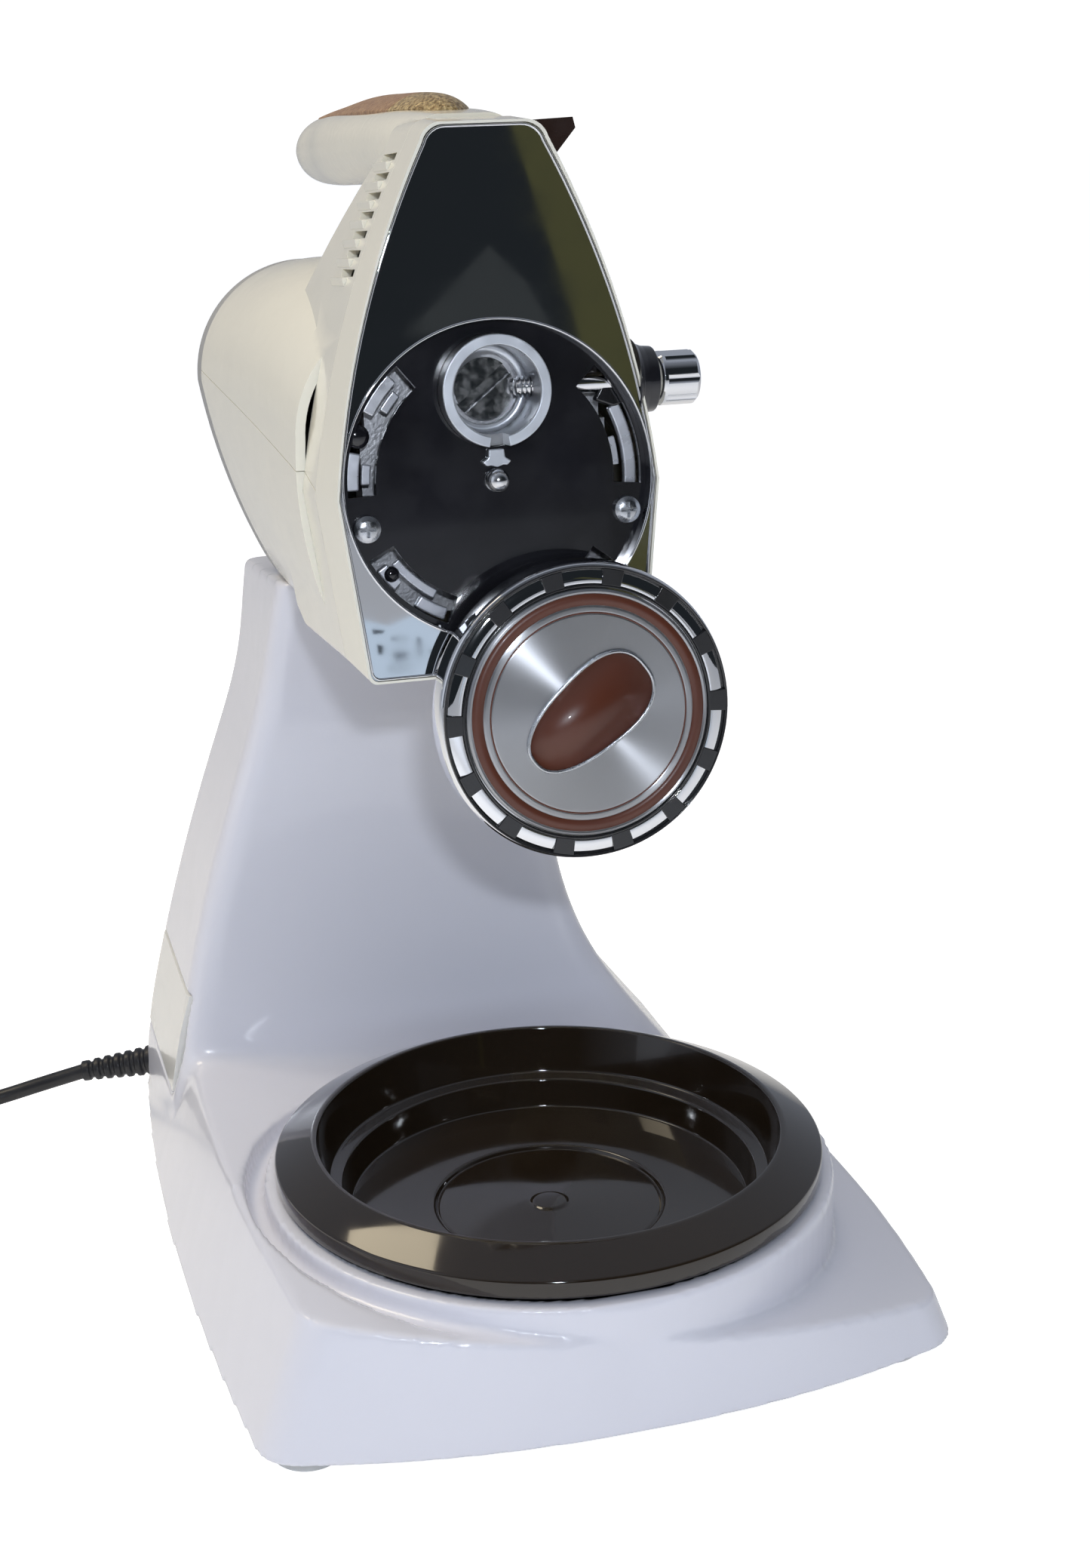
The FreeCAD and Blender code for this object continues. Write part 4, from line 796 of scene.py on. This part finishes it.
def make_badge():
    """The spun disc, with an enamelled band and line laid in its grooves."""
    profile = [
        (0, 0), (31.0, 0), (31.0, 1.4), (30.4, 2.0), (29.9, 1.8), (26.9, 1.8), (26.5, 2.0), (25.6, 2.05),
        (25.3, 1.95), (25.0, 1.95), (24.7, 2.1), (0, 2.3),
    ]
    disc = lathe("badge_disc", rounded(profile, 0.15), "badge_metal", "cover", COVER_FACE)
    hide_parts("cover_badge")
    enamel = materials["enamel"]
    band = [(26.95, 1.7), (29.85, 1.7), (29.8, 1.92), (27.0, 1.92)]
    lathe("badge_band", band, "dark_brown", "cover", COVER_FACE, closed=True, material=enamel)
    line = [(24.95, 1.9), (25.35, 1.9), (25.33, 2.03), (24.97, 2.03)]
    lathe("badge_line", line, "dark_brown", "cover", COVER_FACE, closed=True, material=enamel)


def emblem_outline(steps=96):
    """A full oval, a little wider at one end."""
    power = 2 / EMBLEM_FULLNESS
    outline = []
    for step in range(steps):
        angle = 2 * math.pi * step / steps
        along, beside = math.cos(angle), math.sin(angle)
        along = math.copysign(abs(along) ** power, along) * EMBLEM_LENGTH
        half_width = EMBLEM_WIDTH + EMBLEM_TAPER * along
        beside = math.copysign(abs(beside) ** power, beside) * half_width
        outline.append((along, beside))
    return outline


def make_emblem():
    lean = COVER_FACE @ Matrix.Rotation(EMBLEM_LEAN, 4, "Z")
    outline = emblem_outline()
    prism("badge_emblem", outline, 2.0, 2.55, "dark_brown", "cover", lean, materials["enamel"])
    border = [(x * 1.03, y * 1.05, 2.5) for x, y in outline]
    sweep("badge_border", border, 0.5, "zinc_steel", "cover", lean)


def make_cover():
    make_cup()
    make_trim()
    make_badge()
    make_emblem()


# ---------------------------------------------------------------- cord
CORD_DIAMETER = 5.0 * MM
RELIEF_START = Vector((-92.0, 160.0, 17.0)) * MM
RELIEF_LENGTH, RELIEF_RADIUS, RELIEF_TAPER = 25.4, 5.2, 1.8
RELIEF_RIBS, RIB_START, RIB_PITCH = 6, 3.0, 3.6
ROUTE = [
    Vector(point) * MM
    for point in (
        (-116.0, 167.0, 13.0), (-129.0, 171.5, 8.5), (-144.0, 174.5, 4.0),
        (-159.0, 171.5, 3.1), (-171.0, 164.5, 3.0), (-184.0, 161.0, 3.0),
    )
]
COIL_CENTRE = Vector((-193.0, 190.0, 0.0)) * MM
TURN_POINTS = 18
COIL_START, COIL_SHORT = -72.0, 20.0
# degrees between which the cord moves over to its next radius, and to its next height
SHIFT_FROM, SHIFT_TO = 10.0, -38.0
CLIMB_FROM, CLIMB_TO = 58.0, 10.0
# where each turn of the coil lies: radius and height, from the floor up
TURN_SEATS = (
    (33.0, 2.6), (27.95, 2.6), (22.9, 2.6), (22.9, 7.65), (27.95, 7.65), (33.0, 7.65),
    (33.0, 12.7), (27.95, 12.7), (22.9, 12.7),
)
# the cord's last stretch: degrees, radius and height round the coil, over its turns to the plug
COIL_END = (
    (-92.0, 22.9, 14.0), (-110.0, 23.5, 17.2), (-128.0, 26.5, 17.8), (-146.0, 31.5, 17.8),
    (-163.0, 36.5, 16.2), (-180.0, 39.3, 12.2), (-196.0, 39.8, 8.0),
)
PLUG_START = Vector((-226.6, 211.0, 6.6)) * MM
PLUG_ANGLE = math.radians(14.0)
PLUG_HEADING = Vector((math.sin(PLUG_ANGLE), math.cos(PLUG_ANGLE), 0.0))


def ease(t):
    t = min(max(t, 0.0), 1.0)
    return t * t * (3 - 2 * t)


def round_coil(angle, radius, height):
    way = math.radians(angle)
    return COIL_CENTRE + Vector((radius * math.cos(way), radius * math.sin(way), height)) * MM


def coil_points():
    """The coil's turns as points round its centre, clockwise from where the cord arrives."""
    points = []
    turned = 0.0
    while turned < 360.0 * len(TURN_SEATS) - COIL_SHORT:
        angle = COIL_START - turned
        radius, height = TURN_SEATS[0]
        for number in range(1, len(TURN_SEATS)):
            before, after = TURN_SEATS[number - 1], TURN_SEATS[number]
            lap = 360.0 * number
            shift = (SHIFT_FROM - lap - angle) / (SHIFT_FROM - SHIFT_TO)
            climb = (CLIMB_FROM - lap - angle) / (CLIMB_FROM - CLIMB_TO)
            radius += (after[0] - before[0]) * ease(shift)
            height += (after[1] - before[1]) * ease(climb)
        points.append(round_coil(angle, radius, height))
        turned += 360.0 / TURN_POINTS
    return points + [round_coil(*place) for place in COIL_END]


def make_flex():
    """The cord itself. The route's last point is where the coil's own turns take over."""
    points = ROUTE[:-1] + coil_points() + [PLUG_START - PLUG_HEADING * 5 * MM, PLUG_START]
    curve = bpy.data.curves.new("mains_cord", "CURVE")
    curve.dimensions = "3D"
    curve.bevel_depth = CORD_DIAMETER / 2
    curve.bevel_resolution = 4
    curve.resolution_u = 5
    curve.use_fill_caps = True
    spline = curve.splines.new("NURBS")
    spline.points.add(len(points) - 1)
    for point, where in zip(spline.points, points):
        point.co = (*where, 1.0)
    spline.order_u = 3
    spline.use_endpoint_u = True
    curve.materials.append(materials["cord_black"])
    flex = bpy.data.objects.new("mains_cord", curve)
    bpy.context.scene.collection.objects.link(flex)
    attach(flex, "stand")
    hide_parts("power_cord", "cord_coil")
    return flex


def make_relief():
    """The ribbed sleeve where the cord leaves the base."""
    profile = [(0, 0), (RELIEF_RADIUS, 0)]
    for number in range(RELIEF_RIBS):
        z = RIB_START + number * RIB_PITCH
        r = RELIEF_RADIUS - RELIEF_TAPER * z / RELIEF_LENGTH
        profile += [(r, z), (r - 0.9, z + 0.5), (r - 1.0, z + 1.5), (r - 0.25, z + 2.0)]
    profile += [(3.4, RELIEF_LENGTH), (2.4, RELIEF_LENGTH), (0, 25.0)]
    along = (ROUTE[0] - RELIEF_START).normalized()
    place = Matrix.Translation(RELIEF_START) @ along.to_track_quat("Z", "Y").to_matrix().to_4x4()
    relief = lathe("relief_boot", rounded(profile, 0.35), "cord_black", "stand", place, steps=64)
    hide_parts("strain_relief")


def make_plug():
    """The plug's body, and its two blades in a list."""
    place = Matrix.Translation(PLUG_START) @ PLUG_HEADING.to_track_quat("Z", "Y").to_matrix().to_4x4()
    profile = [(0, 0), (3.1, 0), (3.3, 2.0), (2.9, 2.6), (3.5, 4.6), (3.1, 5.2), (4.6, 8.4), (6.2, 12.0),
               (6.4, 22.0), (5.8, 23.6), (0, 23.6)]
    plug = lathe("plug_body", rounded(profile, 0.5), "cord_black", "stand", place, steps=64)
    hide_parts("plug")
    blades = []
    for label, across in (("left", -3.2), ("right", 3.2)):
        outline = [(across - 0.7, -3.1), (across + 0.7, -3.1), (across + 0.7, 3.1), (across - 0.7, 3.1)]
        name = f"plug_blade_{label}"
        blades.append(
            prism(name, outline, 23.0, 39.0, "zinc_steel", "stand", place, materials["bronze"], soft=0.25)
        )
    return plug, blades


def make_cord():
    flex = make_flex()
    make_relief()
    plug, blades = make_plug()


# ---------------------------------------------------------------- room and light
def soft_light(name, centre, facing, width, height, watts, color=(1, 1, 1), mirrored=True):
    data = bpy.data.lights.new(name, "AREA")
    data.shape = "RECTANGLE"
    data.size = width
    data.size_y = height
    data.energy = watts
    data.color = color
    light = bpy.data.objects.new(name, data)
    light.location = Vector(centre)
    light.rotation_mode = "QUATERNION"
    light.rotation_quaternion = (Vector(facing) - Vector(centre)).to_track_quat("-Z", "Y")
    light.visible_glossy = mirrored
    bpy.context.scene.collection.objects.link(light)


def seen_in_plate(across, up, distance):
    """The spot, some metres in front, that the face plate mirrors to the camera at a point of its face."""
    spot = in_head(across, 0, up).translation
    facing = (HEAD.to_3x3() @ Vector((0, -1, 0))).normalized()
    arriving = (spot - CAMERA_PLACE).normalized()
    leaving = arriving - 2 * arriving.dot(facing) * facing
    return spot + leaving * distance


def mirrored_card(name, outline, distance, color):
    """A dim card in the room that only shows as a reflection; its outline is given on the face plate."""
    mesh = bpy.data.meshes.new(name)
    corners = [seen_in_plate(across, up, distance) for across, up in outline]
    mesh.from_pydata(corners, [], [tuple(range(len(corners)))])
    card = bpy.data.objects.new(name, mesh)
    bpy.context.scene.collection.objects.link(card)
    material = bpy.data.materials.new(name)
    material.use_nodes = True
    tree = material.node_tree
    tree.nodes.clear()
    out = tree.nodes.new("ShaderNodeOutputMaterial")
    glow = tree.nodes.new("ShaderNodeEmission")
    glow.inputs["Color"].default_value = (*color, 1)
    glow.inputs["Strength"].default_value = 1.0
    tree.links.new(glow.outputs["Emission"], out.inputs["Surface"])
    mesh.materials.append(material)
    card.visible_camera = False
    card.visible_diffuse = False
    card.visible_shadow = False


# dark things in the bright part of the room, by where the face plate mirrors them: the upper left
# corner's place across and up the plate, then the width and the height
CORNER_SHAPES = (
    (-34.0, -33.6, 3.2, 1.2), (-33.0, -37.4, 1.6, 2.6), (-29.4, -36.0, 4.6, 0.8), (-29.0, -39.6, 3.8, 2.2),
    (-23.0, -36.4, 1.0, 5.4), (-20.0, -40.0, 5.2, 1.0), (-30.5, -43.4, 7.0, 0.8),
)


def make_floor():
    bpy.ops.mesh.primitive_plane_add(size=12.0, location=(0, 0, 0))
    floor = bpy.context.object
    floor.name = "studio_floor"
    finish = Finish("studio_floor", (0.90, 0.90, 0.90), 0.9)
    finish.tinted(0.6, (0.89, 0.89, 0.89))
    finish.shader.inputs["Emission Color"].default_value = (1, 1, 1, 1)
    path = finish.node("ShaderNodeLightPath")
    glow = finish.ramp(path.outputs["Is Camera Ray"], 0.16, 0.80, 0.0, 1.0)
    finish.link(glow, finish.shader.inputs["Emission Strength"])
    floor.data.materials.append(finish.material)


# the room's light fades from bright to dim towards the side that the object faces
DIM_SIDE = (0.30, -0.94, -0.16)
BRIGHT_SKY, BRIGHT_UNTIL = (0.86, 0.93, 1.08, 1), 0.02
DIM_SKY, DIM_FROM = (0.040, 0.048, 0.056, 1), 0.62
SEEN_STRENGTH, LIT_STRENGTH = 1.1, 0.34


def make_world():
    """White where the camera sees it; the object is lit by a sky with a bright and a dim side."""
    world = bpy.data.worlds.new("studio")
    bpy.context.scene.world = world
    world.use_nodes = True
    tree = world.node_tree
    tree.nodes.clear()
    out = tree.nodes.new("ShaderNodeOutputWorld")
    seen = tree.nodes.new("ShaderNodeBackground")
    seen.inputs["Color"].default_value = (1, 1, 1, 1)
    seen.inputs["Strength"].default_value = SEEN_STRENGTH
    lit = tree.nodes.new("ShaderNodeBackground")
    where = tree.nodes.new("ShaderNodeTexCoord")
    toward = tree.nodes.new("ShaderNodeVectorMath")
    toward.operation = "DOT_PRODUCT"
    toward.inputs[1].default_value = DIM_SIDE
    tree.links.new(where.outputs["Generated"], toward.inputs[0])
    ramp = tree.nodes.new("ShaderNodeValToRGB")
    ramp.color_ramp.elements[0].position = BRIGHT_UNTIL
    ramp.color_ramp.elements[0].color = BRIGHT_SKY
    ramp.color_ramp.elements[1].position = DIM_FROM
    ramp.color_ramp.elements[1].color = DIM_SKY
    tree.links.new(toward.outputs["Value"], ramp.inputs["Fac"])
    tree.links.new(ramp.outputs["Color"], lit.inputs["Color"])
    lit.inputs["Strength"].default_value = LIT_STRENGTH
    path = tree.nodes.new("ShaderNodeLightPath")
    mix = tree.nodes.new("ShaderNodeMixShader")
    tree.links.new(path.outputs["Is Camera Ray"], mix.inputs["Fac"])
    tree.links.new(lit.outputs["Background"], mix.inputs[1])
    tree.links.new(seen.outputs["Background"], mix.inputs[2])
    tree.links.new(mix.outputs["Shader"], out.inputs["Surface"])


def make_room():
    bpy.context.scene.view_settings.view_transform = "Standard"
    make_floor()
    make_world()
    soft_light("overhead", (-0.2, 0.2, 1.5), (0, 0, 0.15), 1.2, 1.2, 6.5, (1.0, 0.91, 0.76), mirrored=False)
    soft_light("left_wall", (-1.5, -0.2, 0.7), (0, 0, 0.2), 1.2, 1.2, 1.4, (0.88, 0.94, 1.04))
    soft_light(
        "front_fill", (-0.15, -1.35, 0.5), (0, 0, 0.15), 0.9, 0.7, 3.9, (0.82, 0.91, 1.08), mirrored=False
    )
    soft_light("flash", (-0.135, -0.60, 0.43), (0, 0, 0.17), 0.035, 0.02, 1.25, (0.90, 0.96, 1.06))
    soft_light("warm_ceiling", (-0.40, 0.25, 0.78), (-0.05, 0.05, 0.3), 0.3, 0.3, 1.7, (1.0, 0.86, 0.62))
    olive = [(6, 86), (18, 86), (44, 0), (40, -48), (30, -48), (27, 4), (20, 40)]
    mirrored_card("olive_wall", olive, 1.6, (0.060, 0.060, 0.028))
    tent = [(0, 56), (9, 47), (15, 36), (-22, 36), (-13, 44)]
    mirrored_card("pale_tent", tent, 1.58, (0.034, 0.038, 0.040))
    corner = [(-39, -30), (-30, -33), (-24, -31), (-14, -37), (-4, -40), (4, -50), (-38, -50)]
    mirrored_card("bright_corner", corner, 1.5, (0.50, 0.60, 0.72))
    for number, (across, up, wide, high) in enumerate(CORNER_SHAPES):
        low = up - high
        shape = [(across, up), (across + wide, up - 0.6), (across + 0.8 * wide, low), (across + 0.2, low)]
        mirrored_card(f"corner_shape_{number}", shape, 1.45, (0.015, 0.018, 0.024))


make_camera()
materials = make_materials()
dress_nodes(materials)
make_cord()
make_stand()
make_turntable()
make_head()
make_drive()
make_castings()
make_cover()
make_room()
